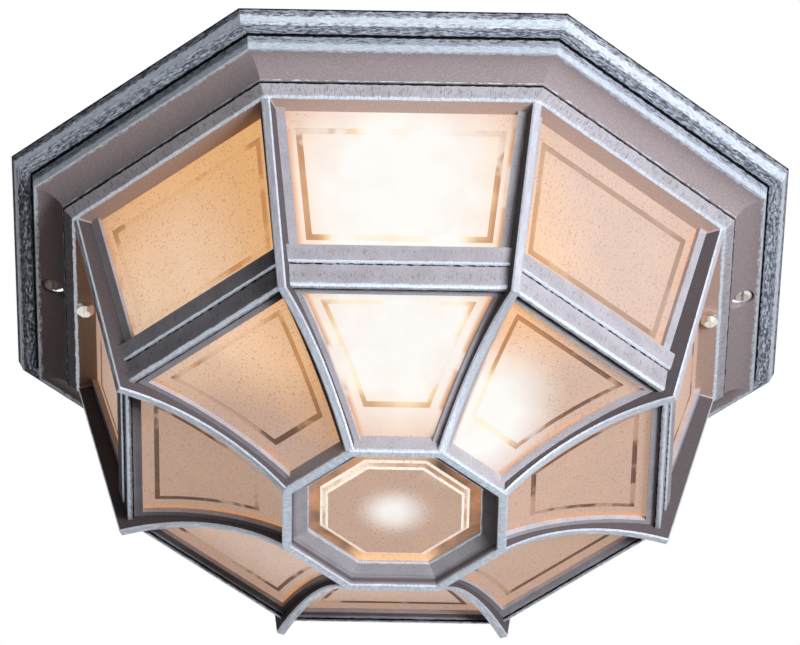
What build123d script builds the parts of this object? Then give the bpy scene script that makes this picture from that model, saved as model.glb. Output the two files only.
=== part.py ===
from build123d import *
import os
from math import acos, atan2, cos, degrees, hypot, pi, radians, sin, sqrt, tan

# Octagonal cast ceiling light: a stepped canopy against the ceiling and, screwed under it,
# a glazed cage that drops straight down for changing the two lamps.
# The ceiling face is z = 0, the light hangs below it, and flats face along X and Y.
# An apothem is half the width across flats.

# Octagon that every level follows
sides = 8
half_angle = 180 / sides
corner_ratio = 1 / cos(radians(half_angle))
side_ratio = tan(radians(half_angle))

# Clearances
thread_gap = 0.05
edge_gap = 0.3
glass_bed = 0.25

# Canopy casting
rim_apothem = 133.35
rim_height = 5.2
rim_draft = 1.85
rim_ledge = 5.4
step_height = 5.8
step_draft = 0.7
cove_height = 5.0
cove_run = 10.2
cove_sagitta = 1.6
canopy_wall = 2.4
canopy_flange = 3.2
canopy_flange_width = 11.2
arris = 0.5

# Foam strip let into the top of the rim
gasket_width = 4.4
gasket_depth = 2.0

# Seal between canopy and cage
seal_thickness = 0.8
seal_margin = 0.6

# Cage casting: top ring, sloping wall, rails, curved underside and centre ring
cage_ring_height = 3.6
cage_ring_taper = 3.6
soffit_width = 5.0
wall_tilt = 15.0
wall_thickness = 1.93
window_height = 50.9
upper_rail_height = 5.9
lower_rail_height = 8.8
rail_proud = 2.44
rail_step = 1.0
rail_foot = 4.78
rail_land = 2.2
shell_start_rise = 2.7
shell_thickness = 1.8
shell_sagitta = 3.3
lower_flange = 2.95
ring_drop = 27.6

# Centre ring of the cage
ring_apothem = 38.2
ring_land = 3.0
ring_steep_run = 1.0
ring_steep_rise = 3.6
ring_slope_run = 4.9
ring_slope_rise = 1.85
ring_lip = 1.25
ring_rebate = 2.1
shell_end_rise = 5.0

# Ribs at the eight corners
rib_thickness = 3.2
crest_bevel = 0.5
rib_proud = 6.15
knuckle_fall = 3.6
rib_sagitta = 6.0
web_thickness = 2.0

# Glass
upper_glass = 3.0
lower_glass = 3.0
stile_land = 4.0
rib_land = 3.6
glass_lap = 1.2
upper_glass_head = 0.8
upper_glass_lap = 4.0
centre_seat_width = 2.7
centre_glass_margin = 3.9
centre_bevel_inset = 3.8
centre_bevel_run = 2.7
centre_bevel_height = 2.0

# Spring clips and the ring that hold the glass
clip_thickness = 0.8
clip_width = 10.0
clip_leg = 12.0
upper_clip_drop = 26.0
lower_clip_reach = 24.0
retainer_cover = 2.3
retainer_thickness = 1.5
retainer_screw_radius = 1.25
retainer_head_radius = 1.8
retainer_head_height = 1.6
retainer_screw_grip = 4.5
retainer_screw_count = 4

# Screws that carry the cage
cage_screw_radius = 2.0
cage_head_radius = 3.0
cage_head_height = 3.6
cage_head_bevel = 1.2
cage_screw_reach = 2.0
slot_width = 0.9
slot_depth = 1.1

# Screws that carry the canopy
canopy_screw_inset = 6.5
canopy_screw_radius = 2.0
canopy_head_radius = 3.2
canopy_head_height = 2.6
canopy_head_bevel = 0.9
canopy_bore_radius = 4.2
canopy_seat_depth = 3.8
canopy_boss_radius = 5.0
nut_sides = 6
nut_flats = 7.0
nut_height = 3.2

# Mounting pan on the ceiling box
pan_room = 13.7
pan_thickness = 1.6
pan_flange = 8.0
ear_width = 18.0
box_slot_spacing = 88.9
box_slot_length = 16.0
box_slot_radius = 2.4
wire_hole_radius = 11.0
bushing_wall = 3.0
bushing_lip = 2.0
bushing_lip_height = 2.2
earth_screw_place = 30.0
earth_screw_radius = 2.4
earth_head_flats = 8.0
earth_head_height = 3.0

# Lampholders on their brackets
lamp_spacing = 70.0
lamp_drop = 40.0
holder_setback = 44.6
holder_wall = 2.8
holder_length = 34.0
holder_floor = 5.0
holder_flange_width = 5.0
holder_flange = 6.0
holder_screw_radius = 1.5
holder_screw_grip = 4.0
holder_head_radius = 2.3
holder_head_height = 2.0
bracket_thickness = 1.6
bracket_foot = 22.0
bracket_corner = 8.0
bracket_screw_radius = 2.0
bracket_head_radius = 3.6
bracket_head_height = 2.4
bracket_screw_spread = 24.0
bracket_wire_radius = 5.0

# Screw shell, contact and lamp
cap_radius = 13.2
cap_length = 24.0
button_radius = 4.5
button_height = 1.7
shell_metal = 0.4
contact_radius = 6.0
contact_thickness = 1.5
bulb_radius = 24.0
bulb_length = 64.5
neck_inset = 0.8
neck_straight = 7.5
bulb_glass = 1.0
hollow_steps = 4

os.makedirs("parts", exist_ok=True)

# Levels and apothems that follow from the sizes above
step_apothem = rim_apothem - rim_draft - rim_ledge
step_bottom = -(rim_height + step_height)
step_bottom_apothem = step_apothem - step_draft
cove_end_apothem = step_bottom_apothem - cove_run
canopy_bottom = step_bottom - cove_height
cage_top = canopy_bottom - seal_thickness
soffit = cage_top - cage_ring_height
rail_top = soffit - window_height
upper_rail_bottom = rail_top - upper_rail_height
rail_bottom = upper_rail_bottom - lower_rail_height
knuckle = rail_bottom - knuckle_fall
ring_bottom = rail_bottom - ring_drop
lip_apothem = ring_apothem - ring_land - ring_steep_run - ring_slope_run
glass_seat = ring_bottom + ring_steep_rise + ring_slope_rise + ring_lip
centre_glass_top = glass_seat + centre_glass_margin
centre_glass_apothem = lip_apothem + centre_seat_width
rebate_apothem = ring_apothem - ring_rebate
moulding_reach = 2 * rim_apothem

# Sloping wall of the cage
wall_slope = tan(radians(wall_tilt))
wall_across = wall_thickness / cos(radians(wall_tilt))
glass_across = upper_glass / cos(radians(wall_tilt))
clip_across = clip_thickness / cos(radians(wall_tilt))
ring_arris_apothem = cove_end_apothem - cage_ring_taper
wall_top_apothem = ring_arris_apothem - soffit_width


def middle(first, second):
    """Halfway between two values."""
    return (first + second) / 2


def wall_outside(z):
    """Apothem of the sloping wall's outer face at a level."""
    return wall_top_apothem + wall_slope * (z - soffit)


def wall_inside(z):
    """Apothem of the sloping wall's inner face at a level."""
    return wall_outside(z) - wall_across


def wall_core(z):
    """Apothem of the middle of the sloping wall at a level."""
    return middle(wall_outside(z), wall_inside(z))


def glass_inside(z):
    """Apothem of the upper panes' inner face at a level."""
    return wall_inside(z) - glass_across


def half_width(apothem, margin):
    """Half the length of a side at an apothem, less a margin at its end."""
    return apothem * side_ratio - margin


def bowed(start, end, sagitta):
    """Middle point of an arc that bows upwards from its chord."""
    run = start[0] - end[0]
    rise = start[1] - end[1]
    length = hypot(run, rise)
    return (
        middle(start[0], end[0]) - sagitta * rise / length,
        middle(start[1], end[1]) + sagitta * run / length,
    )


# Circle of the curved underside, drawn at the inner face of its wall
shell_start_z = rail_bottom + shell_start_rise
shell_start_apothem = wall_inside(shell_start_z)
shell_end_z = ring_bottom + shell_end_rise
chord_run = shell_start_apothem - rebate_apothem
chord_rise = shell_start_z - shell_end_z
chord = hypot(chord_run, chord_rise)
shell_radius = chord**2 / (8 * shell_sagitta) + shell_sagitta / 2
centre_below = shell_radius - shell_sagitta
shell_centre_apothem = middle(shell_start_apothem, rebate_apothem) + centre_below * chord_rise / chord
shell_centre_z = middle(shell_start_z, shell_end_z) - centre_below * chord_run / chord


def shell_point(apothem, lift):
    """Point of the curved underside on a flat, lifted inwards from its inner face."""
    height = sqrt((shell_radius + lift) ** 2 - (apothem - shell_centre_apothem) ** 2)
    return (apothem, shell_centre_z + height)


def shell_arc(first, second, lift):
    """Three points of the curved underside between two apothems on a flat."""
    return [shell_point(apothem, lift) for apothem in (first, middle(first, second), second)]


def to_corner(point):
    """A point of the section carried out to the corner between two sides."""
    return (point[0] * corner_ratio, point[1])


def corner_arc(first, second, lift):
    """Three points of the curved underside along a corner."""
    return [to_corner(point) for point in shell_arc(first, second, lift)]


def octagon(apothem, mode=Mode.ADD):
    """Sketch an octagon whose flats face along X and Y."""
    RegularPolygon(apothem, sides, major_radius=False, rotation=half_angle, mode=mode)


def mitred_length(section):
    """One side of an octagonal moulding with both ends cut to the mitre."""
    with BuildPart() as length:
        extrude(section, amount=moulding_reach, both=True)
        with BuildSketch(Plane.XY):
            Polygon(
                (0, 0),
                (moulding_reach, -half_width(moulding_reach, 0)),
                (moulding_reach, half_width(moulding_reach, 0)),
                align=None,
            )
        extrude(amount=moulding_reach, both=True, mode=Mode.INTERSECT)
    return length.part


def corner_strip(section):
    """A strip folded round a corner: one leg of the section and its mirror image."""
    corner = Plane((0, 0, 0), x_dir=(0, 0, 1), z_dir=(-side_ratio, 1, 0))
    with BuildPart() as strip:
        extrude(section, amount=moulding_reach, both=True)
        with BuildSketch(Plane.XY):
            Polygon(
                (0, half_width(0, clip_leg)),
                (moulding_reach, half_width(moulding_reach, clip_leg)),
                (moulding_reach, half_width(moulding_reach, 0)),
                (0, half_width(0, 0)),
                align=None,
            )
        extrude(amount=moulding_reach, both=True, mode=Mode.INTERSECT)
        mirror(about=corner)
    return strip.part


def finish(piece, name):
    """Label a finished piece and write it."""
    piece.label = name
    export_step(piece, f"parts/{name}.step")


# Places of the pan, the lampholders and the screws
canopy_inside = step_apothem - canopy_wall
pan_apothem = canopy_inside - pan_room
holder_place = wall_top_apothem - holder_setback
canopy_screw_apothem = step_apothem - canopy_screw_inset
canopy_screw_places = [(canopy_screw_apothem, 0), (-canopy_screw_apothem, 0)]
cage_screw_apothem = middle(wall_inside(soffit), ring_arris_apothem)
cage_screw_places = [(cage_screw_apothem, 0), (-cage_screw_apothem, 0)]
lamp_rows = lamp_spacing / 2
bracket_foot_centre = holder_place + bracket_foot / 2
bracket_screw_places = [
    (turn * bracket_foot_centre, spread * bracket_screw_spread / 2 - turn * lamp_rows)
    for turn in (1, -1)
    for spread in (1, -1)
]

# Canopy
rim_bottom_apothem = rim_apothem - rim_draft
canopy_mouth_apothem = cove_end_apothem - canopy_flange_width
flange_top = canopy_bottom + canopy_flange
gasket_outer = rim_bottom_apothem - arris
gasket_inner = gasket_outer - gasket_width - edge_gap
cove_start = (step_bottom_apothem, step_bottom)
cove_end = (cove_end_apothem, canopy_bottom)
with BuildSketch(Plane.XZ) as canopy_section:
    with BuildLine():
        Polyline(
            (gasket_outer, 0),
            (rim_apothem, 0),
            (rim_bottom_apothem, arris - rim_height),
            (rim_bottom_apothem - arris, -rim_height),
            (step_apothem, -rim_height),
            cove_start,
        )
        ThreePointArc(cove_start, bowed(cove_start, cove_end, cove_sagitta), cove_end)
        Polyline(
            cove_end,
            (canopy_mouth_apothem, canopy_bottom),
            (canopy_mouth_apothem, flange_top),
            (cove_end_apothem - canopy_wall, flange_top),
            (step_bottom_apothem - canopy_wall, step_bottom + canopy_wall),
            (canopy_inside, -rim_height),
            (canopy_inside, 0),
            (gasket_inner, 0),
            (gasket_inner, -gasket_depth),
            (gasket_outer, -gasket_depth),
            (gasket_outer, 0),
        )
    make_face()
canopy_length = mitred_length(canopy_section.sketch)
canopy_seat = -(rim_height + canopy_seat_depth)
nut_bottom = -(pan_thickness + nut_height)
canopy_boss_top = nut_bottom - edge_gap
with BuildPart() as canopy:
    with PolarLocations(0, sides):
        add(canopy_length)
    with BuildSketch(Plane.XY.offset(canopy_boss_top)):
        with Locations(*canopy_screw_places):
            Circle(canopy_boss_radius)
    extrude(amount=canopy_seat - canopy_boss_top)
    with BuildSketch(Plane.XY.offset(canopy_seat)):
        with Locations(*canopy_screw_places):
            Circle(canopy_bore_radius)
    extrude(amount=canopy_bottom - canopy_seat, mode=Mode.SUBTRACT)
    with BuildSketch(Plane.XY.offset(canopy_seat)):
        with Locations(*canopy_screw_places):
            Circle(canopy_screw_radius + edge_gap)
    extrude(amount=canopy_boss_top - canopy_seat, mode=Mode.SUBTRACT)
    with BuildSketch(Plane.XY.offset(canopy_bottom)):
        with Locations(*cage_screw_places):
            Circle(cage_screw_radius + thread_gap)
    extrude(amount=canopy_flange, mode=Mode.SUBTRACT)
finish(canopy.part, "canopy")

# Ceiling gasket, flush with the top of the rim
with BuildSketch(Plane.XZ) as gasket_section:
    with BuildLine():
        Polyline(
            (gasket_outer - edge_gap / 2, 0),
            (gasket_outer - edge_gap / 2, -gasket_depth),
            (gasket_inner + edge_gap / 2, -gasket_depth),
            (gasket_inner + edge_gap / 2, 0),
            close=True,
        )
    make_face()
gasket_length = mitred_length(gasket_section.sketch)
with BuildPart() as ceiling_gasket:
    with PolarLocations(0, sides):
        add(gasket_length)
finish(ceiling_gasket.part, "ceiling_gasket")

# Seal between canopy and cage
with BuildPart() as cage_seal:
    with BuildSketch(Plane.XY.offset(cage_top)):
        octagon(cove_end_apothem - seal_margin)
        octagon(wall_inside(cage_top) + seal_margin, Mode.SUBTRACT)
        with Locations(*cage_screw_places):
            Circle(cage_screw_radius + edge_gap, mode=Mode.SUBTRACT)
    extrude(amount=seal_thickness)
finish(cage_seal.part, "cage_seal")

# Mounting pan with two ears for the canopy screws
with BuildPart() as mounting_pan:
    with BuildSketch(Plane.XY):
        octagon(pan_apothem)
        Rectangle(2 * (canopy_inside - edge_gap), ear_width)
        with Locations(*canopy_screw_places):
            Circle(canopy_screw_radius + edge_gap, mode=Mode.SUBTRACT)
        with Locations((0, box_slot_spacing / 2), (0, -box_slot_spacing / 2)):
            SlotOverall(box_slot_length, 2 * box_slot_radius, rotation=90, mode=Mode.SUBTRACT)
        Circle(wire_hole_radius, mode=Mode.SUBTRACT)
        with Locations((earth_screw_place, 0)):
            Circle(earth_screw_radius + thread_gap, mode=Mode.SUBTRACT)
        with Locations(*bracket_screw_places):
            Circle(bracket_screw_radius + thread_gap, mode=Mode.SUBTRACT)
    extrude(amount=-pan_thickness)
    with BuildSketch(Plane.XY.offset(-pan_thickness)):
        octagon(pan_apothem)
        octagon(pan_apothem - pan_thickness, Mode.SUBTRACT)
    extrude(amount=-pan_flange)
finish(mounting_pan.part, "mounting_pan")

# Nuts welded under the ears
with BuildPart() as weld_nuts:
    with BuildSketch(Plane.XY.offset(-pan_thickness)):
        with Locations(*canopy_screw_places):
            RegularPolygon(nut_flats / 2, nut_sides, major_radius=False, rotation=180 / nut_sides)
            Circle(canopy_screw_radius + thread_gap, mode=Mode.SUBTRACT)
    extrude(amount=-nut_height)
finish(weld_nuts.part, "weld_nuts")

# Screws through the canopy into the nuts
with BuildPart() as canopy_screws:
    with BuildSketch(Plane.XY.offset(canopy_seat)):
        with Locations(*canopy_screw_places):
            Circle(canopy_head_radius)
    extrude(amount=-canopy_head_height)
    chamfer(canopy_screws.edges().group_by(Axis.Z)[0], canopy_head_bevel)
    with BuildSketch(Plane.XY.offset(canopy_seat - canopy_head_height)):
        with Locations(*canopy_screw_places):
            Rectangle(slot_width, 2 * canopy_head_radius)
    extrude(amount=slot_depth, mode=Mode.SUBTRACT)
    with BuildSketch(Plane.XY.offset(canopy_seat)):
        with Locations(*canopy_screw_places):
            Circle(canopy_screw_radius)
    extrude(amount=-pan_thickness / 2 - canopy_seat)
finish(canopy_screws.part, "canopy_screws")

# Rubber bushing in the wire hole
with BuildPart() as wire_bushing:
    with BuildSketch(Plane.XY):
        Circle(wire_hole_radius - edge_gap)
    extrude(amount=-pan_thickness)
    with BuildSketch(Plane.XY.offset(-pan_thickness)):
        Circle(wire_hole_radius + bushing_lip)
    extrude(amount=-bushing_lip_height)
    Hole(wire_hole_radius - bushing_wall)
finish(wire_bushing.part, "wire_bushing")

# Earth terminal screw
with BuildPart() as earth_screw:
    with BuildSketch(Plane.XY.offset(-pan_thickness)):
        with Locations((earth_screw_place, 0)):
            RegularPolygon(earth_head_flats / 2, nut_sides, major_radius=False)
    extrude(amount=-earth_head_height)
    with BuildSketch(Plane.XY.offset(-pan_thickness)):
        with Locations((earth_screw_place, 0)):
            Circle(earth_screw_radius)
    extrude(amount=pan_thickness)
finish(earth_screw.part, "earth_screw")

# Brackets, lampholders and lamps: the near pair points to -X, the far pair to +X
lamp_axis = -lamp_drop
shell_bore = cap_radius + edge_gap
cavity_radius = shell_bore + shell_metal + edge_gap
holder_radius = cavity_radius + holder_wall
flange_radius = holder_radius + holder_flange_width
holder_screw_place = middle(holder_radius, flange_radius)
holder_screw_places = [(holder_screw_place, 0), (-holder_screw_place, 0)]
foot_level = -(pan_thickness + bracket_thickness)
bracket_bottom = lamp_axis - flange_radius
cap_start = holder_floor + contact_thickness + edge_gap + button_height
cap_end = cap_start + cap_length
bulb_end = cap_end + bulb_length
ball_centre = bulb_end - bulb_radius
neck_radius = cap_radius - neck_inset
neck_end = cap_end + neck_straight
ball_rise = ball_centre - neck_end
throat_radius = (neck_radius**2 + ball_rise**2 - bulb_radius**2) / (2 * (bulb_radius - neck_radius))
throat_centre = (neck_radius + throat_radius, neck_end)
throat_sweep = degrees(atan2(ball_rise, throat_centre[0]))
hollow_radius = bulb_radius - bulb_glass
hollow_neck = neck_radius - bulb_glass
hollow_start = -acos(hollow_neck / hollow_radius)
hollow_turn = (pi / 2 - hollow_start) / hollow_steps
hollow_angles = [hollow_start + step * hollow_turn for step in range(hollow_steps)]
hollow_outline = [
    (hollow_radius * cos(angle), ball_centre + hollow_radius * sin(angle)) for angle in hollow_angles
]
holder_backs = []
for number, turn in ((1, 1), (2, -1)):
    row = -turn * lamp_rows
    back = Plane(origin=(turn * holder_place, row, lamp_axis), x_dir=(0, 1, 0), z_dir=(-turn, 0, 0))
    lengthways = Plane(origin=back.origin, x_dir=(0, 1, 0), z_dir=(0, 0, turn))
    lamp_line = Axis(back.origin, back.z_dir)
    holder_backs.append(back)

    with BuildPart() as bracket:
        with BuildSketch(back):
            with Locations((0, -turn * (middle(foot_level, bracket_bottom) - lamp_axis))):
                Rectangle(2 * flange_radius, foot_level - bracket_bottom)
            Circle(bracket_wire_radius, mode=Mode.SUBTRACT)
            with Locations(*holder_screw_places):
                Circle(holder_screw_radius + edge_gap, mode=Mode.SUBTRACT)
        extrude(amount=-bracket_thickness)
        fillet(bracket.edges().filter_by(Axis.X).group_by(Axis.Z)[0], bracket_corner)
        with BuildSketch(Plane.XY.offset(foot_level)):
            with Locations((turn * bracket_foot_centre, row)):
                Rectangle(bracket_foot, 2 * flange_radius)
            with Locations(*bracket_screw_places):
                Circle(bracket_screw_radius + edge_gap, mode=Mode.SUBTRACT)
        extrude(amount=bracket_thickness)
    finish(bracket.part, f"bracket_{number}")

    with BuildPart() as lampholder:
        with BuildSketch(back):
            Circle(flange_radius)
        extrude(amount=holder_flange)
        with BuildSketch(back):
            Circle(holder_radius)
        extrude(amount=holder_length)
        with BuildSketch(back.offset(holder_floor)):
            Circle(cavity_radius)
        extrude(amount=holder_length - holder_floor, mode=Mode.SUBTRACT)
        with BuildSketch(back):
            with Locations(*holder_screw_places):
                Circle(holder_screw_radius + thread_gap)
        extrude(amount=holder_screw_grip, mode=Mode.SUBTRACT)
    finish(lampholder.part, f"lampholder_{number}")

    with BuildPart() as screw_shell:
        with BuildSketch(back.offset(holder_floor)):
            Circle(shell_bore + shell_metal)
            Circle(shell_bore, mode=Mode.SUBTRACT)
        extrude(amount=holder_length - holder_floor - arris)
    finish(screw_shell.part, f"screw_shell_{number}")

    with BuildPart() as contact:
        with BuildSketch(back.offset(holder_floor)):
            Circle(contact_radius)
        extrude(amount=contact_thickness)
    finish(contact.part, f"contact_{number}")

    with BuildPart() as lamp_cap:
        with BuildSketch(lengthways):
            with BuildLine():
                Polyline(
                    (0, cap_start - button_height),
                    (button_radius, cap_start - button_height),
                    (button_radius, cap_start),
                    (cap_radius - button_height, cap_start),
                    (cap_radius, cap_start + button_height),
                    (cap_radius, cap_end),
                    (0, cap_end),
                    close=True,
                )
            make_face()
        revolve(axis=lamp_line)
    finish(lamp_cap.part, f"lamp_cap_{number}")

    with BuildPart() as lamp_bulb:
        with BuildSketch(lengthways):
            with BuildLine():
                Line((neck_radius, cap_end), (neck_radius, neck_end))
                CenterArc(throat_centre, throat_radius, 180, -throat_sweep)
                CenterArc((0, ball_centre), bulb_radius, -throat_sweep, 90 + throat_sweep)
                Polyline(
                    (0, bulb_end),
                    (0, bulb_end - bulb_glass),
                    *reversed(hollow_outline),
                    (hollow_neck, cap_end),
                    (neck_radius, cap_end),
                )
            make_face()
        revolve(axis=lamp_line)
    finish(lamp_bulb.part, f"lamp_bulb_{number}")

# Screws through the brackets into the holders
with BuildPart() as holder_screws:
    for back in holder_backs:
        with BuildSketch(back.offset(-bracket_thickness)):
            with Locations(*holder_screw_places):
                Circle(holder_head_radius)
        extrude(amount=-holder_head_height)
        with BuildSketch(back.offset(-bracket_thickness)):
            with Locations(*holder_screw_places):
                Circle(holder_screw_radius)
        extrude(amount=bracket_thickness + holder_screw_grip - edge_gap)
finish(holder_screws.part, "holder_screws")

# Screws through the bracket feet into the pan
with BuildPart() as bracket_screws:
    with BuildSketch(Plane.XY.offset(foot_level)):
        with Locations(*bracket_screw_places):
            Circle(bracket_head_radius)
    extrude(amount=-bracket_head_height)
    with BuildSketch(Plane.XY.offset(foot_level)):
        with Locations(*bracket_screw_places):
            Circle(bracket_screw_radius)
    extrude(amount=bracket_thickness + pan_thickness)
finish(bracket_screws.part, "bracket_screws")

# One side of the cage with its two windows
rail_bottom_apothem = wall_inside(rail_bottom) + rail_foot
rail_land_apothem = rail_bottom_apothem - rail_land
rail_face_top = wall_outside(rail_top) + rail_proud
rail_face_bottom = wall_outside(upper_rail_bottom) + rail_proud
ring_slant = cage_ring_height / cage_ring_taper
with BuildSketch(Plane.XZ) as cage_section:
    with BuildLine():
        Polyline(
            (shell_start_apothem, shell_start_z),
            (wall_inside(cage_top), cage_top),
            (cove_end_apothem, cage_top),
            (ring_arris_apothem + arris, soffit + arris * ring_slant),
            (ring_arris_apothem - arris, soffit),
            (wall_top_apothem, soffit),
            (wall_outside(rail_top), rail_top),
            (rail_face_top, rail_top),
            (rail_face_bottom, upper_rail_bottom),
            (rail_face_bottom - rail_step, upper_rail_bottom - arris),
            (rail_bottom_apothem, rail_bottom + arris),
            (rail_bottom_apothem - arris, rail_bottom),
            (rail_land_apothem, rail_bottom),
            shell_point(rail_land_apothem, -shell_thickness),
        )
        ThreePointArc(*shell_arc(rail_land_apothem, ring_apothem, -shell_thickness))
        Polyline(
            shell_point(ring_apothem, -shell_thickness),
            (ring_apothem, ring_bottom + arris),
            (ring_apothem - arris, ring_bottom),
            (ring_apothem - ring_land, ring_bottom),
            (ring_apothem - ring_land - ring_steep_run, ring_bottom + ring_steep_rise),
            (lip_apothem, glass_seat - ring_lip),
            (lip_apothem, glass_seat),
            (centre_glass_apothem + edge_gap, glass_seat),
            (centre_glass_apothem + edge_gap, centre_glass_top),
            (rebate_apothem, centre_glass_top),
            (rebate_apothem, shell_end_z),
        )
        ThreePointArc(*shell_arc(rebate_apothem, shell_start_apothem, 0))
    make_face()
cage_length = mitred_length(cage_section.sketch)
window_outer = rail_land_apothem - lower_flange
with BuildPart() as cage_side:
    add(cage_length)
    with BuildSketch(Plane.YZ):
        Polygon(
            (-half_width(wall_inside(soffit), stile_land), soffit),
            (half_width(wall_inside(soffit), stile_land), soffit),
            (half_width(wall_inside(rail_top), stile_land), rail_top),
            (-half_width(wall_inside(rail_top), stile_land), rail_top),
            align=None,
        )
    extrude(amount=moulding_reach, mode=Mode.SUBTRACT)
    with BuildSketch(Plane.XY):
        Polygon(
            (ring_apothem, -half_width(ring_apothem, rib_land)),
            (window_outer, -half_width(window_outer, rib_land)),
            (window_outer, half_width(window_outer, rib_land)),
            (ring_apothem, half_width(ring_apothem, rib_land)),
            align=None,
        )
    extrude(amount=moulding_reach, both=True, mode=Mode.SUBTRACT)

# Rib that stands out along a corner, with a sharp knuckle and a bevelled crest
ring_core = middle(cage_top, soffit)
shell_core = -shell_thickness / 2
crest_top = to_corner((ring_arris_apothem - arris, soffit))
crest_knuckle = to_corner((wall_outside(knuckle) + rib_proud, knuckle))
crest_end = to_corner((ring_apothem - arris, ring_bottom + arris))
upper_crest_middle = (middle(crest_top[0], crest_knuckle[0]), middle(crest_top[1], crest_knuckle[1]))
lower_crest_middle = bowed(crest_knuckle, crest_end, rib_sagitta)
rib_root = corner_arc(rebate_apothem, shell_start_apothem, shell_core)


def on_crest(edge):
    """Whether an edge of the rib runs along its crest."""
    spot = edge.position_at(0.5)
    return any(
        hypot(spot.X - place[0], spot.Z - place[1]) < crest_bevel
        for place in (upper_crest_middle, lower_crest_middle)
    )


with BuildPart() as rib:
    with BuildSketch(Plane.XZ):
        with BuildLine():
            ThreePointArc(*rib_root)
            Polyline(
                rib_root[-1],
                to_corner((wall_core(shell_start_z), shell_start_z)),
                to_corner((wall_core(ring_core), ring_core)),
                (crest_top[0], ring_core),
                crest_top,
                crest_knuckle,
            )
            ThreePointArc(crest_knuckle, lower_crest_middle, crest_end)
            Line(crest_end, rib_root[0])
        make_face()
    extrude(amount=rib_thickness / 2, both=True)
    chamfer(rib.edges().filter_by(on_crest), crest_bevel)

# Webs behind a corner that keep neighbouring panes apart
pane_top = cage_top - upper_glass_head
lower_glass_top = glass_bed + lower_glass
ring_wall_core = middle(centre_glass_apothem + edge_gap, rebate_apothem)
web_floor = corner_arc(ring_wall_core, shell_start_apothem, shell_core)
web_crown = corner_arc(shell_start_apothem, ring_wall_core, lower_glass_top)
with BuildPart() as web:
    with BuildSketch(Plane.XZ):
        with BuildLine():
            Polyline(
                to_corner((wall_core(pane_top), pane_top)),
                to_corner((wall_core(shell_start_z), shell_start_z)),
                to_corner((glass_inside(shell_start_z) + edge_gap, shell_start_z)),
                to_corner((glass_inside(pane_top) + edge_gap, pane_top)),
                close=True,
            )
        make_face()
        with BuildLine():
            ThreePointArc(*web_floor)
            Line(web_floor[-1], web_crown[0])
            ThreePointArc(*web_crown)
            Line(web_crown[-1], web_floor[0])
        make_face()
    extrude(amount=web_thickness / 2, both=True)

# Cage frame: eight sides, eight ribs and their webs, drilled for its screws
retainer_screw_place = ring_wall_core * corner_ratio
with BuildPart() as cage_frame:
    with PolarLocations(0, sides):
        add(cage_side.part)
    with PolarLocations(0, sides, start_angle=half_angle):
        add(rib.part)
        add(web.part)
    with BuildSketch(Plane.XY.offset(soffit)):
        with Locations(*cage_screw_places):
            Circle(cage_screw_radius + thread_gap)
    extrude(amount=cage_ring_height, mode=Mode.SUBTRACT)
    with BuildSketch(Plane.XY.offset(centre_glass_top)):
        with PolarLocations(retainer_screw_place, retainer_screw_count, start_angle=half_angle):
            Circle(retainer_screw_radius + thread_gap)
    extrude(amount=-retainer_screw_grip, mode=Mode.SUBTRACT)
finish(cage_frame.part, "cage_frame")

# Flat upper panes against the inside of the wall
pane_bottom = rail_top - upper_glass_lap
pane_margin = stile_land - glass_lap
with BuildPart() as upper_pane:
    with BuildSketch(Plane.XZ):
        Polygon(
            (wall_inside(pane_top), pane_top),
            (glass_inside(pane_top), pane_top),
            (glass_inside(pane_bottom), pane_bottom),
            (wall_inside(pane_bottom), pane_bottom),
            align=None,
        )
    extrude(amount=moulding_reach, both=True)
    with BuildSketch(Plane.YZ):
        Polygon(
            (-half_width(wall_inside(pane_top), pane_margin), pane_top),
            (half_width(wall_inside(pane_top), pane_margin), pane_top),
            (half_width(wall_inside(pane_bottom), pane_margin), pane_bottom),
            (-half_width(wall_inside(pane_bottom), pane_margin), pane_bottom),
            align=None,
        )
    extrude(amount=moulding_reach, mode=Mode.INTERSECT)

# Bent lower panes on the curved underside
bent_inner = rebate_apothem + edge_gap
bent_outer = shell_start_apothem - edge_gap
bent_margin = rib_land - glass_lap
bent_floor = shell_arc(bent_inner, bent_outer, glass_bed)
bent_crown = shell_arc(bent_outer, bent_inner, lower_glass_top)
with BuildPart() as lower_pane:
    with BuildSketch(Plane.XZ):
        with BuildLine():
            ThreePointArc(*bent_floor)
            Line(bent_floor[-1], bent_crown[0])
            ThreePointArc(*bent_crown)
            Line(bent_crown[-1], bent_floor[0])
        make_face()
    extrude(amount=moulding_reach, both=True)
    with BuildSketch(Plane.XY):
        Polygon(
            (bent_inner, -half_width(bent_inner, bent_margin)),
            (bent_outer, -half_width(bent_outer, bent_margin)),
            (bent_outer, half_width(bent_outer, bent_margin)),
            (bent_inner, half_width(bent_inner, bent_margin)),
            align=None,
        )
    extrude(amount=moulding_reach, both=True, mode=Mode.INTERSECT)

# Both panes of every side
for number in range(sides):
    around = Location((0, 0, 0), (0, 0, number * 2 * half_angle))
    for pane_name, pattern in (("upper_pane", upper_pane), ("lower_pane", lower_pane)):
        with BuildPart() as pane:
            with Locations(around):
                add(pattern.part)
        finish(pane.part, f"{pane_name}_{number + 1}")

# Centre glass with its raised, bevelled face
bevel_apothem = lip_apothem - centre_bevel_inset
with BuildPart() as centre_glass:
    with BuildSketch(Plane.XY.offset(glass_seat)):
        octagon(centre_glass_apothem)
    extrude(amount=centre_glass_margin)
    with BuildSketch(Plane.XY.offset(glass_seat)):
        octagon(bevel_apothem)
    with BuildSketch(Plane.XY.offset(glass_seat - centre_bevel_height)):
        octagon(bevel_apothem - centre_bevel_run)
    loft()
finish(centre_glass.part, "centre_glass")

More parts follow.
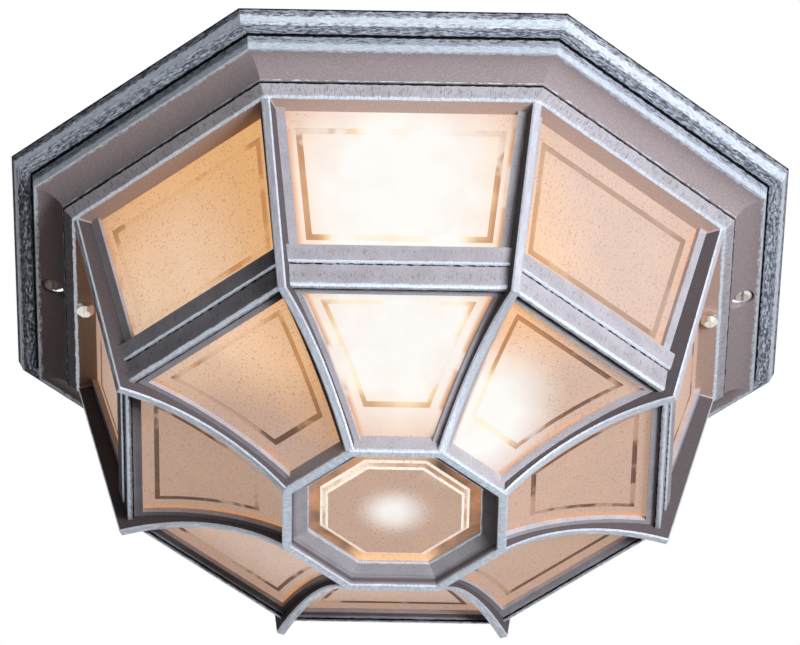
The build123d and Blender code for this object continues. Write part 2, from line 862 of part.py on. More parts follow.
# Ring and screws that hold the centre glass down
retainer_top = centre_glass_top + retainer_thickness
with BuildPart() as glass_retainer:
    with BuildSketch(Plane.XY.offset(centre_glass_top)):
        octagon(rebate_apothem - edge_gap)
        octagon(lip_apothem - retainer_cover, Mode.SUBTRACT)
        with PolarLocations(retainer_screw_place, retainer_screw_count, start_angle=half_angle):
            Circle(retainer_screw_radius + edge_gap / 2, mode=Mode.SUBTRACT)
    extrude(amount=retainer_thickness)
finish(glass_retainer.part, "glass_retainer")

with BuildPart() as retainer_screws:
    with BuildSketch(Plane.XY.offset(retainer_top)):
        with PolarLocations(retainer_screw_place, retainer_screw_count, start_angle=half_angle):
            Circle(retainer_head_radius)
    extrude(amount=retainer_head_height)
    with BuildSketch(Plane.XY.offset(retainer_top)):
        with PolarLocations(retainer_screw_place, retainer_screw_count, start_angle=half_angle):
            Circle(retainer_screw_radius)
    extrude(amount=edge_gap - retainer_thickness - retainer_screw_grip)
finish(retainer_screws.part, "retainer_screws")

# Spring clips folded round the corners against the upper panes
upper_clip_top = soffit - upper_clip_drop + clip_width / 2
upper_clip_bottom = upper_clip_top - clip_width
with BuildSketch(Plane.XZ) as upper_clip_section:
    Polygon(
        (glass_inside(upper_clip_top), upper_clip_top),
        (glass_inside(upper_clip_top) - clip_across, upper_clip_top),
        (glass_inside(upper_clip_bottom) - clip_across, upper_clip_bottom),
        (glass_inside(upper_clip_bottom), upper_clip_bottom),
        align=None,
    )
upper_clip = corner_strip(upper_clip_section.sketch)
with BuildPart() as upper_clips:
    with PolarLocations(0, sides):
        add(upper_clip)
finish(upper_clips.part, "upper_clips")

# Spring clips over the lower panes
lower_clip_inner = rebate_apothem + lower_clip_reach - clip_width / 2
lower_clip_outer = lower_clip_inner + clip_width
lower_clip_lift = lower_glass_top + edge_gap
clip_floor = shell_arc(lower_clip_inner, lower_clip_outer, lower_clip_lift)
clip_crown = shell_arc(lower_clip_outer, lower_clip_inner, lower_clip_lift + clip_thickness)
with BuildSketch(Plane.XZ) as lower_clip_section:
    with BuildLine():
        ThreePointArc(*clip_floor)
        Line(clip_floor[-1], clip_crown[0])
        ThreePointArc(*clip_crown)
        Line(clip_crown[-1], clip_floor[0])
    make_face()
lower_clip = corner_strip(lower_clip_section.sketch)
with BuildPart() as lower_clips:
    with PolarLocations(0, sides):
        add(lower_clip)
finish(lower_clips.part, "lower_clips")

# Slotted screws that hold the cage to the canopy
for number, place in enumerate(cage_screw_places, start=1):
    with BuildPart() as cage_screw:
        with BuildSketch(Plane.XY.offset(soffit)):
            with Locations(place):
                Circle(cage_head_radius)
        extrude(amount=-cage_head_height)
        chamfer(cage_screw.edges().group_by(Axis.Z)[0], cage_head_bevel)
        with BuildSketch(Plane.XY.offset(soffit - cage_head_height)):
            with Locations(place):
                Rectangle(slot_width, 2 * cage_head_radius)
        extrude(amount=slot_depth, mode=Mode.SUBTRACT)
        with BuildSketch(Plane.XY.offset(soffit)):
            with Locations(place):
                Circle(cage_screw_radius)
        extrude(amount=flange_top + cage_screw_reach - soffit)
    finish(cage_screw.part, f"cage_screw_{number}")
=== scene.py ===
import logging
import math
from dataclasses import dataclass, field
from enum import Enum
from typing import Union

import bmesh
import bpy
from mathutils import Matrix, Vector


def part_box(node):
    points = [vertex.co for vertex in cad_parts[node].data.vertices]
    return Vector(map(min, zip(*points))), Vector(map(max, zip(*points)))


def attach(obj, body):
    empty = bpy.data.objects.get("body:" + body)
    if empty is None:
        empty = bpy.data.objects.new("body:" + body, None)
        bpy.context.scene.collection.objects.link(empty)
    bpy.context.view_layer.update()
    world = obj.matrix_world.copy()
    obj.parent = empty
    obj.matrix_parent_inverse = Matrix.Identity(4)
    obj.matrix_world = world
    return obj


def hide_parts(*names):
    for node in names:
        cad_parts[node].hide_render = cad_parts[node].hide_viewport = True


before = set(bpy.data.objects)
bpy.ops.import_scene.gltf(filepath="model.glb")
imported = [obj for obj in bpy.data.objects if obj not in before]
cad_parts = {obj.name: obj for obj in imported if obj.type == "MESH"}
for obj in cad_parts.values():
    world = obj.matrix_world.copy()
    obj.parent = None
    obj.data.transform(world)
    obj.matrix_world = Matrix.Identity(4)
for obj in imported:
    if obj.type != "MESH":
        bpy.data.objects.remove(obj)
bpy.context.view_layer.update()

LOG = logging.getLogger("ceiling_light")

Colour = tuple[float, float, float]
Place = tuple[float, float, float]
Socket = bpy.types.NodeSocket
Feed = Union[Socket, float, Colour]
Span = tuple[float, float]
VertRows = list[list[bmesh.types.BMVert]]


class Body(Enum):
    """Bodies of the light that pieces ride on."""

    CAGE = "cage"
    LAMP_1 = "lamp_1"
    LAMP_2 = "lamp_2"


class Slot(Enum):
    """Finishes of the record that pieces take."""

    FROSTED_GLASS = "frosted_glass"
    LAMP_CAP = "lamp_cap"


class Kind(Enum):
    """Socket kinds of a node group."""

    VALUE = "NodeSocketFloat"
    VECTOR = "NodeSocketVector"


class Ring(Enum):
    """Lines of a pane from its edge inwards."""

    EDGE = 0
    CUT_OUTSIDE = 1
    CUT_FLOOR = 2
    INSIDE = 3


class CapFinish(Enum):
    """Finishes of a lamp cap, by their place in its list."""

    METAL = 0
    INSULATOR = 1


class Graph:
    """Adds nodes to one shader tree and joins them."""

    def __init__(self, tree: bpy.types.NodeTree) -> None:
        """Work on a tree."""
        self.tree = tree

    def node(self, kind: str, **settings: object) -> bpy.types.Node:
        """Add a node.

        Args:
            kind: Blender's name of the node type.
            settings: Properties of the node.

        Returns:
            The new node.
        """
        made = self.tree.nodes.new(kind)
        for name, value in settings.items():
            setattr(made, name, value)
        return made

    def feed(self, socket: Socket, value: Feed) -> None:
        """Link a socket to another, or set its value.

        Args:
            socket: The socket that receives.
            value: A socket, a number or a colour.
        """
        if isinstance(value, bpy.types.NodeSocket):
            self.tree.links.new(value, socket)
        elif socket.type == "RGBA" and len(value) == 3:
            socket.default_value = (*value, 1.0)
        else:
            socket.default_value = value

    def calc(self, operation: str, first: Feed, second: Feed = 0.0, clamp: bool = False) -> Socket:
        """Work out a number.

        Args:
            operation: Name of the math operation.
            first: First value.
            second: Second value.
            clamp: Keep the result between 0 and 1.

        Returns:
            The result.
        """
        made = self.node("ShaderNodeMath", operation=operation, use_clamp=clamp)
        self.feed(made.inputs[0], first)
        self.feed(made.inputs[1], second)
        return made.outputs[0]

    def times(self, first: Feed, second: Feed, clamp: bool = False) -> Socket:
        """Product of two numbers."""
        return self.calc("MULTIPLY", first, second, clamp)

    def plus(self, first: Feed, second: Feed, clamp: bool = False) -> Socket:
        """Sum of two numbers."""
        return self.calc("ADD", first, second, clamp)

    def minus(self, first: Feed, second: Feed, clamp: bool = False) -> Socket:
        """First number less the second."""
        return self.calc("SUBTRACT", first, second, clamp)

    def inverse(self, mask: Feed, clamp: bool = False) -> Socket:
        """What a mask leaves free."""
        return self.minus(1.0, mask, clamp)

    def split(self, vector: Socket) -> tuple[Socket, Socket, Socket]:
        """Take a vector apart.

        Args:
            vector: The vector.

        Returns:
            Its three parts.
        """
        made = self.node("ShaderNodeSeparateXYZ")
        self.feed(made.inputs[0], vector)
        return made.outputs[0], made.outputs[1], made.outputs[2]

    def join(self, first: Feed, second: Feed, third: Feed) -> Socket:
        """Put a vector together.

        Args:
            first: First part.
            second: Second part.
            third: Third part.

        Returns:
            The vector.
        """
        made = self.node("ShaderNodeCombineXYZ")
        for socket, value in zip(made.inputs, (first, second, third)):
            self.feed(socket, value)
        return made.outputs[0]

    def ramp(self, value: Feed, low: Feed, high: Feed) -> Socket:
        """A smooth rise from 0 at a low value to 1 at a high one.

        Args:
            value: The value that is mapped.
            low: Where the rise starts.
            high: Where the rise ends.

        Returns:
            A number between 0 and 1.
        """
        made = self.node("ShaderNodeMapRange", interpolation_type="SMOOTHSTEP")
        for name, part in (("Value", value), ("From Min", low), ("From Max", high)):
            self.feed(made.inputs[name], part)
        return made.outputs["Result"]

    def blend(self, factor: Feed, first: Feed, second: Feed) -> Socket:
        """Mix two colours.

        Args:
            factor: Share of the second colour.
            first: First colour.
            second: Second colour.

        Returns:
            The mixed colour.
        """
        made = self.node("ShaderNodeMix", data_type="RGBA")
        self.feed(made.inputs[0], factor)
        self.feed(made.inputs[6], first)
        self.feed(made.inputs[7], second)
        return made.outputs[2]

    def noise(self, vector: Feed, scale: float, detail: float = 3.0,
              roughness: float = 0.5) -> Socket:
        """Cloudy noise between 0 and 1.

        Args:
            vector: Where the noise is read.
            scale: Cells in a metre.
            detail: Number of finer layers.
            roughness: Strength of the finer layers.

        Returns:
            The noise.
        """
        made = self.node("ShaderNodeTexNoise")
        self.feed(made.inputs["Vector"], vector)
        made.inputs["Scale"].default_value = scale
        made.inputs["Detail"].default_value = detail
        made.inputs["Roughness"].default_value = roughness
        return made.outputs[0]

    def place(self) -> Socket:
        """Place on the piece at rest, in metres."""
        return self.node("ShaderNodeTexCoord").outputs["Object"]

    def group(self, tree: bpy.types.NodeTree, **values: Feed) -> bpy.types.Node:
        """Place a node group.

        Args:
            tree: The group.
            values: Values of its inputs, with underscores for spaces.

        Returns:
            The group's node.
        """
        made = self.node("ShaderNodeGroup", node_tree=tree)
        for name, value in values.items():
            self.feed(made.inputs[name.replace("_", " ").strip()], value)
        return made


class Effect:
    """A shader node group with named sockets, built once."""

    def __init__(self, name: str, inputs: dict[str, Kind], outputs: dict[str, Kind]) -> None:
        """Make an empty group.

        Args:
            name: Name of the group.
            inputs: Names and kinds of the inputs.
            outputs: Names and kinds of the outputs.
        """
        self.tree = bpy.data.node_groups.new(name, "ShaderNodeTree")
        for direction, sockets in (("INPUT", inputs), ("OUTPUT", outputs)):
            for socket, kind in sockets.items():
                self.tree.interface.new_socket(
                    name=socket, in_out=direction, socket_type=kind.value)
        self.graph = Graph(self.tree)
        self.given = self.graph.node("NodeGroupInput").outputs
        self.result = self.graph.node("NodeGroupOutput").inputs


class Effects:
    """Surface effects that several finishes share."""

    stroke_span: Span = (0.34, 0.66)
    speck_span: Span = (0.54, 0.68)
    fleck_span: Span = (0.44, 0.30)
    drift_span: Span = (0.3, 0.7)
    drift_scale: float = 0.06

    def __init__(self, plan: "Octagon") -> None:
        """Build every group.

        Args:
            plan: The eight-sided plan of the light.
        """
        self.octagon = self._octagon(plan)
        self.arris = self._arris()
        self.brush = self._brush()
        self.grain = self._grain()
        self.glow = self._glow()

    @staticmethod
    def _octagon(plan: "Octagon") -> bpy.types.NodeTree:
        """Place on the nearest side and on the nearest corner of the octagon.

        Args:
            plan: The eight-sided plan of the light.

        Returns:
            The group. Section is apothem, way along the side and level, Corner the same for the
            corner, Land the way along the side from its end, and Sideways how far a face looks
            along the side.
        """
        effect = Effect("octagon place", {}, {
            "Section": Kind.VECTOR, "Corner": Kind.VECTOR,
            "Land": Kind.VALUE, "Sideways": Kind.VALUE})
        graph = effect.graph
        x, y, z = graph.split(graph.place())
        turns = graph.calc("DIVIDE", graph.calc("ARCTAN2", y, x), plan.step)
        side = graph.times(graph.calc("ROUND", turns), plan.step)
        apothem, along = Effects._turned(graph, x, y, side)
        graph.feed(effect.result["Section"], graph.join(apothem, along, z))
        end = graph.times(apothem, plan.side_ratio)
        graph.feed(effect.result["Land"], graph.minus(end, graph.calc("ABSOLUTE", along)))
        corner = graph.times(graph.plus(graph.calc("FLOOR", turns), 0.5), plan.step)
        reach, across = Effects._turned(graph, x, y, corner)
        graph.feed(effect.result["Corner"], graph.join(reach, across, z))
        normal = graph.split(graph.node("ShaderNodeNewGeometry").outputs["True Normal"])
        sideways = Effects._turned(graph, normal[0], normal[1], corner)[1]
        graph.feed(effect.result["Sideways"], graph.calc("ABSOLUTE", sideways))
        return effect.tree

    @staticmethod
    def _turned(graph: Graph, x: Socket, y: Socket, angle: Socket) -> tuple[Socket, Socket]:
        """A plan vector seen from a direction.

        Args:
            graph: Where the nodes go.
            x: First part of the vector.
            y: Second part of the vector.
            angle: The direction.

        Returns:
            The parts along the direction and across it.
        """
        cosine = graph.calc("COSINE", angle)
        sine = graph.calc("SINE", angle)
        along = graph.plus(graph.times(x, cosine), graph.times(y, sine))
        across = graph.minus(graph.times(y, cosine), graph.times(x, sine))
        return along, across

    @staticmethod
    def _arris() -> bpy.types.NodeTree:
        """A line of the moulding's section that fades with the distance from it.

        Returns:
            The group.
        """
        effect = Effect("arris", {
            "Section": Kind.VECTOR, "Apothem": Kind.VALUE,
            "Level": Kind.VALUE, "Reach": Kind.VALUE,
        }, {"Mask": Kind.VALUE})
        graph = effect.graph
        apothem, _, level = graph.split(effect.given["Section"])
        run = graph.minus(apothem, effect.given["Apothem"])
        rise = graph.minus(level, effect.given["Level"])
        square = graph.plus(graph.times(run, run), graph.times(rise, rise))
        near = graph.ramp(graph.calc("SQRT", square), 0.0, effect.given["Reach"])
        graph.feed(effect.result["Mask"], graph.inverse(near))
        return effect.tree

    def _brush(self) -> bpy.types.NodeTree:
        """Strokes of a nearly dry brush, drawn out along the second part of the place.

        Returns:
            The group.
        """
        effect = Effect("dry brush", {
            "Place": Kind.VECTOR, "Fine": Kind.VALUE, "Long": Kind.VALUE,
        }, {"Stroke": Kind.VALUE})
        graph = effect.graph
        first, along, third = graph.split(effect.given["Place"])
        fine = effect.given["Fine"]
        along = graph.times(along, effect.given["Long"])
        drawn = graph.join(graph.times(first, fine), along, graph.times(third, fine))
        stroke = graph.noise(drawn, 1.0, roughness=0.6)
        graph.feed(effect.result["Stroke"], graph.ramp(stroke, *self.stroke_span))
        return effect.tree

    def _grain(self) -> bpy.types.NodeTree:
        """Fine grain and slow drift of a surface.

        Returns:
            The group.
        """
        effect = Effect("grain", {"Place": Kind.VECTOR, "Fine": Kind.VALUE}, {
            "Speck": Kind.VALUE, "Fleck": Kind.VALUE, "Drift": Kind.VALUE, "Height": Kind.VALUE})
        graph = effect.graph
        drawn = graph.node("ShaderNodeVectorMath", operation="SCALE")
        graph.feed(drawn.inputs[0], effect.given["Place"])
        graph.feed(drawn.inputs["Scale"], effect.given["Fine"])
        fine = graph.noise(drawn.outputs[0], 1.0, roughness=0.65)
        graph.feed(effect.result["Speck"], graph.ramp(fine, *self.speck_span))
        graph.feed(effect.result["Fleck"], graph.ramp(fine, *self.fleck_span))
        graph.feed(effect.result["Height"], fine)
        slow = graph.noise(drawn.outputs[0], self.drift_scale, detail=2.0)
        graph.feed(effect.result["Drift"], graph.ramp(slow, *self.drift_span))
        return effect.tree

    @staticmethod
    def _glow() -> bpy.types.NodeTree:
        """Light that a lamp throws on the glass round it, full near it and none far from it.

        Returns:
            The group.
        """
        effect = Effect("lamp glow", {
            "Place": Kind.VECTOR, "Centre": Kind.VECTOR, "Full": Kind.VALUE, "None": Kind.VALUE,
        }, {"Glow": Kind.VALUE})
        graph = effect.graph
        distance = graph.node("ShaderNodeVectorMath", operation="DISTANCE")
        graph.feed(distance.inputs[0], effect.given["Place"])
        graph.feed(distance.inputs[1], effect.given["Centre"])
        away = graph.ramp(distance.outputs["Value"], effect.given["Full"], effect.given["None"])
        graph.feed(effect.result["Glow"], graph.inverse(away))
        return effect.tree


@dataclass(frozen=True)
class Octagon:
    """The eight-sided plan that every level of the light follows, with sides counted from +X."""

    sides: int = 8

    @property
    def step(self) -> float:
        """Angle from one side to the next."""
        return 2 * math.pi / self.sides

    @property
    def side_ratio(self) -> float:
        """Half a side's length over its apothem."""
        return math.tan(math.pi / self.sides)

    def point(self, number: int, apothem: float, along: float, level: float) -> Vector:
        """A point given from one side.

        Args:
            number: Number of the side, from 1.
            apothem: Distance of the side from the axis.
            along: Way along the side from its middle.
            level: Height.

        Returns:
            The point in the light's frame.
        """
        turn = Matrix.Rotation((number - 1) * self.step, 3, "Z")
        return turn @ Vector((apothem, along, level))


def new_material(name: str) -> tuple[bpy.types.Material, Graph, bpy.types.Node]:
    """Start a material.

    Args:
        name: Name of the finish.

    Returns:
        The material, its graph and its Principled shader.
    """
    made = bpy.data.materials.new(name)
    made.use_nodes = True
    shader = next(n for n in made.node_tree.nodes if n.type == "BSDF_PRINCIPLED")
    return made, Graph(made.node_tree), shader


def set_plain(shader: bpy.types.Node, **values: float) -> None:
    """Set plain numbers on a shader's sockets, with underscores for spaces."""
    for name, value in values.items():
        shader.inputs[name.replace("_", " ")].default_value = value


def set_relief(graph: Graph, shader: bpy.types.Node, height: Socket, depth: float,
               strength: float) -> None:
    """Give a shader a fine relief.

    Args:
        graph: Graph of the material.
        shader: Its Principled shader.
        height: Height over the surface.
        depth: Height of the relief in metres.
        strength: Share of the relief that shows.
    """
    bump = graph.node("ShaderNodeBump")
    bump.inputs["Distance"].default_value = depth
    bump.inputs["Strength"].default_value = strength
    graph.feed(bump.inputs["Height"], height)
    graph.feed(shader.inputs["Normal"], bump.outputs["Normal"])


@dataclass(frozen=True)
class Line:
    """A line that runs round the moulding, given in its section."""

    apothem: float
    level: float
    reach: float
    weight: float = 1.0


@dataclass
class PaintWork:
    """A paint's graph with the shared effects placed in it."""

    graph: Graph
    effects: Effects
    place: bpy.types.NodeOutputs
    brush: Socket
    dashes: Socket
    rib_brush: Socket
    grain: bpy.types.NodeOutputs

    def lines(self, lines: tuple[Line, ...]) -> Feed:
        """Mask of several lines of the moulding.

        Args:
            lines: The lines.

        Returns:
            The largest of their masks.
        """
        mask: Feed = 0.0
        for line in lines:
            one = self.graph.group(
                self.effects.arris, Section=self.place["Section"], Apothem=line.apothem,
                Level=line.level, Reach=line.reach).outputs["Mask"]
            mask = self.graph.calc("MAXIMUM", mask, self.graph.times(one, line.weight))
        return mask


@dataclass(frozen=True)
class CastPaint:
    """Grey paint on the castings, pale on their arrises, with black paint and painted shade in
    their corners, painted shade in the hollows and on the ribs' flanks, and painted lamp light
    under the cage's top ring.
    """

    name: str
    arrises: tuple[Line, ...]
    # Lines where black paint and painted shade fill the corners
    seams: tuple[Line, ...]
    mottled: tuple[Line, ...]
    body: Colour
    drift: Colour
    recess: Line
    # Own tone of the canopy's cove, and painted lamp light under the cage's top ring
    recess_tone_and_lamp_glow: Colour
    dash_fine: float
    dash_long: float
    # Lines of painted shade in the hollows
    hollows: tuple[Line, ...] = ()

    # Colours
    # Painted shade in the hollows
    hollow_shade: Colour = (0.085, 0.070, 0.078)
    # Black paint and painted shade in the corners
    seam_black_and_shade: Colour = (0.008, 0.008, 0.011)
    dash: Colour = (0.030, 0.030, 0.055)
    speck: Colour = (0.16, 0.12, 0.125)
    fleck: Colour = (0.66, 0.63, 0.66)
    pale: Colour = (0.74, 0.83, 0.91)
    lavender: Colour = (0.46, 0.47, 0.59)
    crest: Colour = (0.58, 0.56, 0.62)
    # Painted shade on the ribs' flanks
    flank_shade: Colour = (0.130, 0.110, 0.118)

    # Shares of those colours
    pale_metal: float = 0.32
    dash_share: float = 0.7
    speck_share: float = 0.4
    fleck_share: float = 0.5
    hollow_shade_share: float = 0.9
    flank_shade_share: float = 0.55
    bevel_share: float = 0.75
    low_crest_share: float = 0.5
    rubbed_share: float = 0.5
    lavender_share: float = 0.55

    # Strokes of the brush, and how a mask and a stroke together make a worn line
    brush_fine: float = 1300.0
    brush_long: float = 430.0
    rib_long: float = 300.0
    stroke_share: float = 0.45
    worn_span: Span = (0.45, 0.75)
    line_span: Span = (0.0, 0.15)
    mottle_share: float = 0.5
    mottle_stroke: float = 0.6
    mottle_span: Span = (0.58, 0.72)
    mottle_edge: Span = (0.0, 0.2)
    seam_stroke: float = 0.4
    seam_span: Span = (0.45, 0.8)

    # Surface
    grain_fine: float = 2100.0
    smooth: float = 0.5
    dull: float = 0.3
    relief: float = 0.0003
    relief_share: float = 0.4

    # Ribs
    rib_half: float = 0.00165
    rib_top: float = -0.0212
    rib_foot: float = 0.0405
    rib_run: float = 0.7
    rib_spread: float = 0.1
    knuckle: float = -0.0895
    turned_span: Span = (0.25, 0.5)
    flank_span: Span = (0.8, 0.95)

    def material(self, effects: Effects) -> bpy.types.Material:
        """Make the material.

        Args:
            effects: Shared effects.

        Returns:
            The material.
        """
        made, graph, shader = new_material(self.name)
        work = self._work(graph, effects)
        crest, bevel, flank = self._rib(work)
        free = graph.inverse(graph.plus(crest, graph.plus(bevel, flank)), clamp=True)
        colour = graph.blend(crest, self._ground(work), self.crest)
        # Painted shade on the ribs' flanks, broken up by the grain
        flank = graph.times(flank, graph.plus(self.flank_shade_share, work.grain["Height"]), clamp=True)
        colour = graph.blend(flank, colour, self.flank_shade)
        pale = self._pale(work, free, crest, bevel)
        tint = graph.times(work.dashes, self.lavender_share)
        colour = graph.blend(pale, colour, graph.blend(tint, self.pale, self.lavender))
        colour = graph.blend(graph.times(self._dashed(work), self.dash_share), colour, self.dash)
        # Black paint and painted shade along the corners and seams
        colour = graph.blend(self._seam_black_and_shade(work, free), colour, self.seam_black_and_shade)
        graph.feed(shader.inputs["Base Color"], colour)
        graph.feed(shader.inputs["Metallic"], graph.times(pale, self.pale_metal))
        height = work.grain["Height"]
        rough = graph.plus(self.smooth, graph.times(height, self.dull))
        graph.feed(shader.inputs["Roughness"], rough)
        set_plain(shader, IOR=1.45, Specular_IOR_Level=0.03)
        set_relief(graph, shader, height, self.relief, self.relief_share)
        return made

    def _work(self, graph: Graph, effects: Effects) -> PaintWork:
        """Place the shared effects.

        Args:
            graph: Graph of the material.
            effects: Shared effects.

        Returns:
            The graph with the effects in it.
        """
        place = graph.group(effects.octagon).outputs
        strokes = []
        for drawn, fine, long in (
            (place["Section"], self.brush_fine, self.brush_long),
            (place["Section"], self.dash_fine, self.dash_long),
            (self._along_rib(graph, place["Corner"]), self.brush_fine, self.rib_long),
        ):
            brush = graph.group(effects.brush, Place=drawn, Fine=fine, Long=long)
            strokes.append(brush.outputs["Stroke"])
        grain = graph.group(effects.grain, Place=graph.place(), Fine=self.grain_fine).outputs
        return PaintWork(graph, effects, place, *strokes, grain)

    def _ground(self, work: PaintWork) -> Socket:
        """Colour of the flat paint, darker in the recess, which on the cage is painted lamp light,
        and with painted shade in the hollows.

        Args:
            work: Graph and effects.

        Returns:
            The colour.
        """
        graph = work.graph
        apothem, _, level = graph.split(work.place["Section"])
        colour = graph.blend(work.grain["Drift"], self.body, self.drift)
        recess = graph.times(graph.calc("LESS_THAN", apothem, self.recess.apothem),
                             graph.calc("GREATER_THAN", level, self.recess.level))
        # The canopy's cove takes its own browner tone; the cage takes the lamps' warm light
        # painted under its top ring
        colour = graph.blend(recess, colour, self.recess_tone_and_lamp_glow)
        for mask, share, tone in (
            (work.grain["Speck"], self.speck_share, self.speck),
            (work.grain["Fleck"], self.fleck_share, self.fleck),
            # Painted shade in the hollows
            (work.lines(self.hollows), self.hollow_shade_share, self.hollow_shade),
        ):
            colour = graph.blend(graph.times(mask, share), colour, tone)
        return colour

    def _pale(self, work: PaintWork, free: Socket, crest: Socket, bevel: Socket) -> Socket:
        """Mask of the pale strokes.

        Args:
            work: Graph and effects.
            free: Mask of the casting without its ribs.
            crest: Mask of the ribs' crests.
            bevel: Mask of the crests' edges.

        Returns:
            The mask.
        """
        graph = work.graph
        lines = self._worn(graph, graph.times(free, work.lines(self.arrises)), work.brush)
        edges = graph.times(self._worn(graph, bevel, work.rib_brush), self.bevel_share)
        level = graph.split(work.place["Section"])[2]
        low = graph.times(graph.calc("LESS_THAN", level, self.knuckle), self.low_crest_share)
        stroke = graph.times(work.rib_brush, self.stroke_share)
        touched = graph.times(crest, graph.plus(low, stroke))
        pale = graph.calc("MAXIMUM", graph.calc("MAXIMUM", lines, edges), touched)
        rubbed = graph.times(work.grain["Speck"], self.rubbed_share)
        return graph.times(pale, graph.inverse(rubbed))

    def _dashed(self, work: PaintWork) -> Socket:
        """Mask of the short dark strokes along the mottled bands.

        Args:
            work: Graph and effects.

        Returns:
            The mask.
        """
        graph = work.graph
        bands = work.lines(self.mottled)
        stroke = graph.times(work.dashes, self.mottle_stroke)
        dashed = graph.plus(graph.times(bands, self.mottle_share), stroke)
        edge = graph.ramp(bands, *self.mottle_edge)
        return graph.times(graph.ramp(dashed, *self.mottle_span), edge)

    def _seam_black_and_shade(self, work: PaintWork, free: Socket) -> Socket:
        """Mask of the black paint and painted shade in the corners of the moulding.

        Args:
            work: Graph and effects.
            free: Mask of the casting without its ribs.

        Returns:
            The mask.
        """
        graph = work.graph
        seam = graph.times(free, work.lines(self.seams))
        stroke = graph.times(work.brush, self.seam_stroke)
        return graph.ramp(graph.plus(seam, stroke), *self.seam_span)

    def _worn(self, graph: Graph, line: Socket, brush: Socket) -> Socket:
        """Break a line up into strokes that thin out away from it.

        Args:
            graph: Graph of the material.
            line: Mask of the line.
            brush: Strokes of the dry brush.

        Returns:
            The broken mask.
        """
        stroke = graph.plus(line, graph.times(brush, self.stroke_share))
        return graph.times(graph.ramp(stroke, *self.worn_span), graph.ramp(line, *self.line_span))

    def _along_rib(self, graph: Graph, corner: Socket) -> Socket:
        """Place on a rib with its length as the second part.

        Args:
            graph: Graph of the material.
            corner: Place on the nearest corner of the octagon.

        Returns:
            The place.
        """
        reach, across, level = graph.split(corner)
        length = graph.minus(graph.times(reach, self.rib_run), level)
        return graph.join(across, length, graph.times(reach, self.rib_spread))

    def _rib(self, work: PaintWork) -> tuple[Socket, Socket, Socket]:
        """Masks of a rib's crest, of the crest's bevelled edges and of the rib's flanks.

        Args:
            work: Graph and effects.

        Returns:
            The three masks.
        """
        graph = work.graph
        reach, across, level = graph.split(work.place["Corner"])
        on_rib = graph.calc("LESS_THAN", graph.calc("ABSOLUTE", across), self.rib_half)
        on_rib = graph.times(on_rib, graph.calc("GREATER_THAN", reach, self.rib_foot))
        on_rib = graph.times(on_rib, graph.calc("LESS_THAN", level, self.rib_top))
        turned = graph.ramp(work.place["Sideways"], *self.turned_span)
        flank = graph.ramp(work.place["Sideways"], *self.flank_span)
        crest, bevel = graph.inverse(turned), graph.minus(turned, flank)
        return graph.times(on_rib, crest), graph.times(on_rib, bevel), graph.times(on_rib, flank)


@dataclass(frozen=True)
class Light:
    """Light from the lamps on a stretch of glass, kept to one side where it has one."""

    centre: Place
    full: float
    none: float
    share: float
    side: int = 0


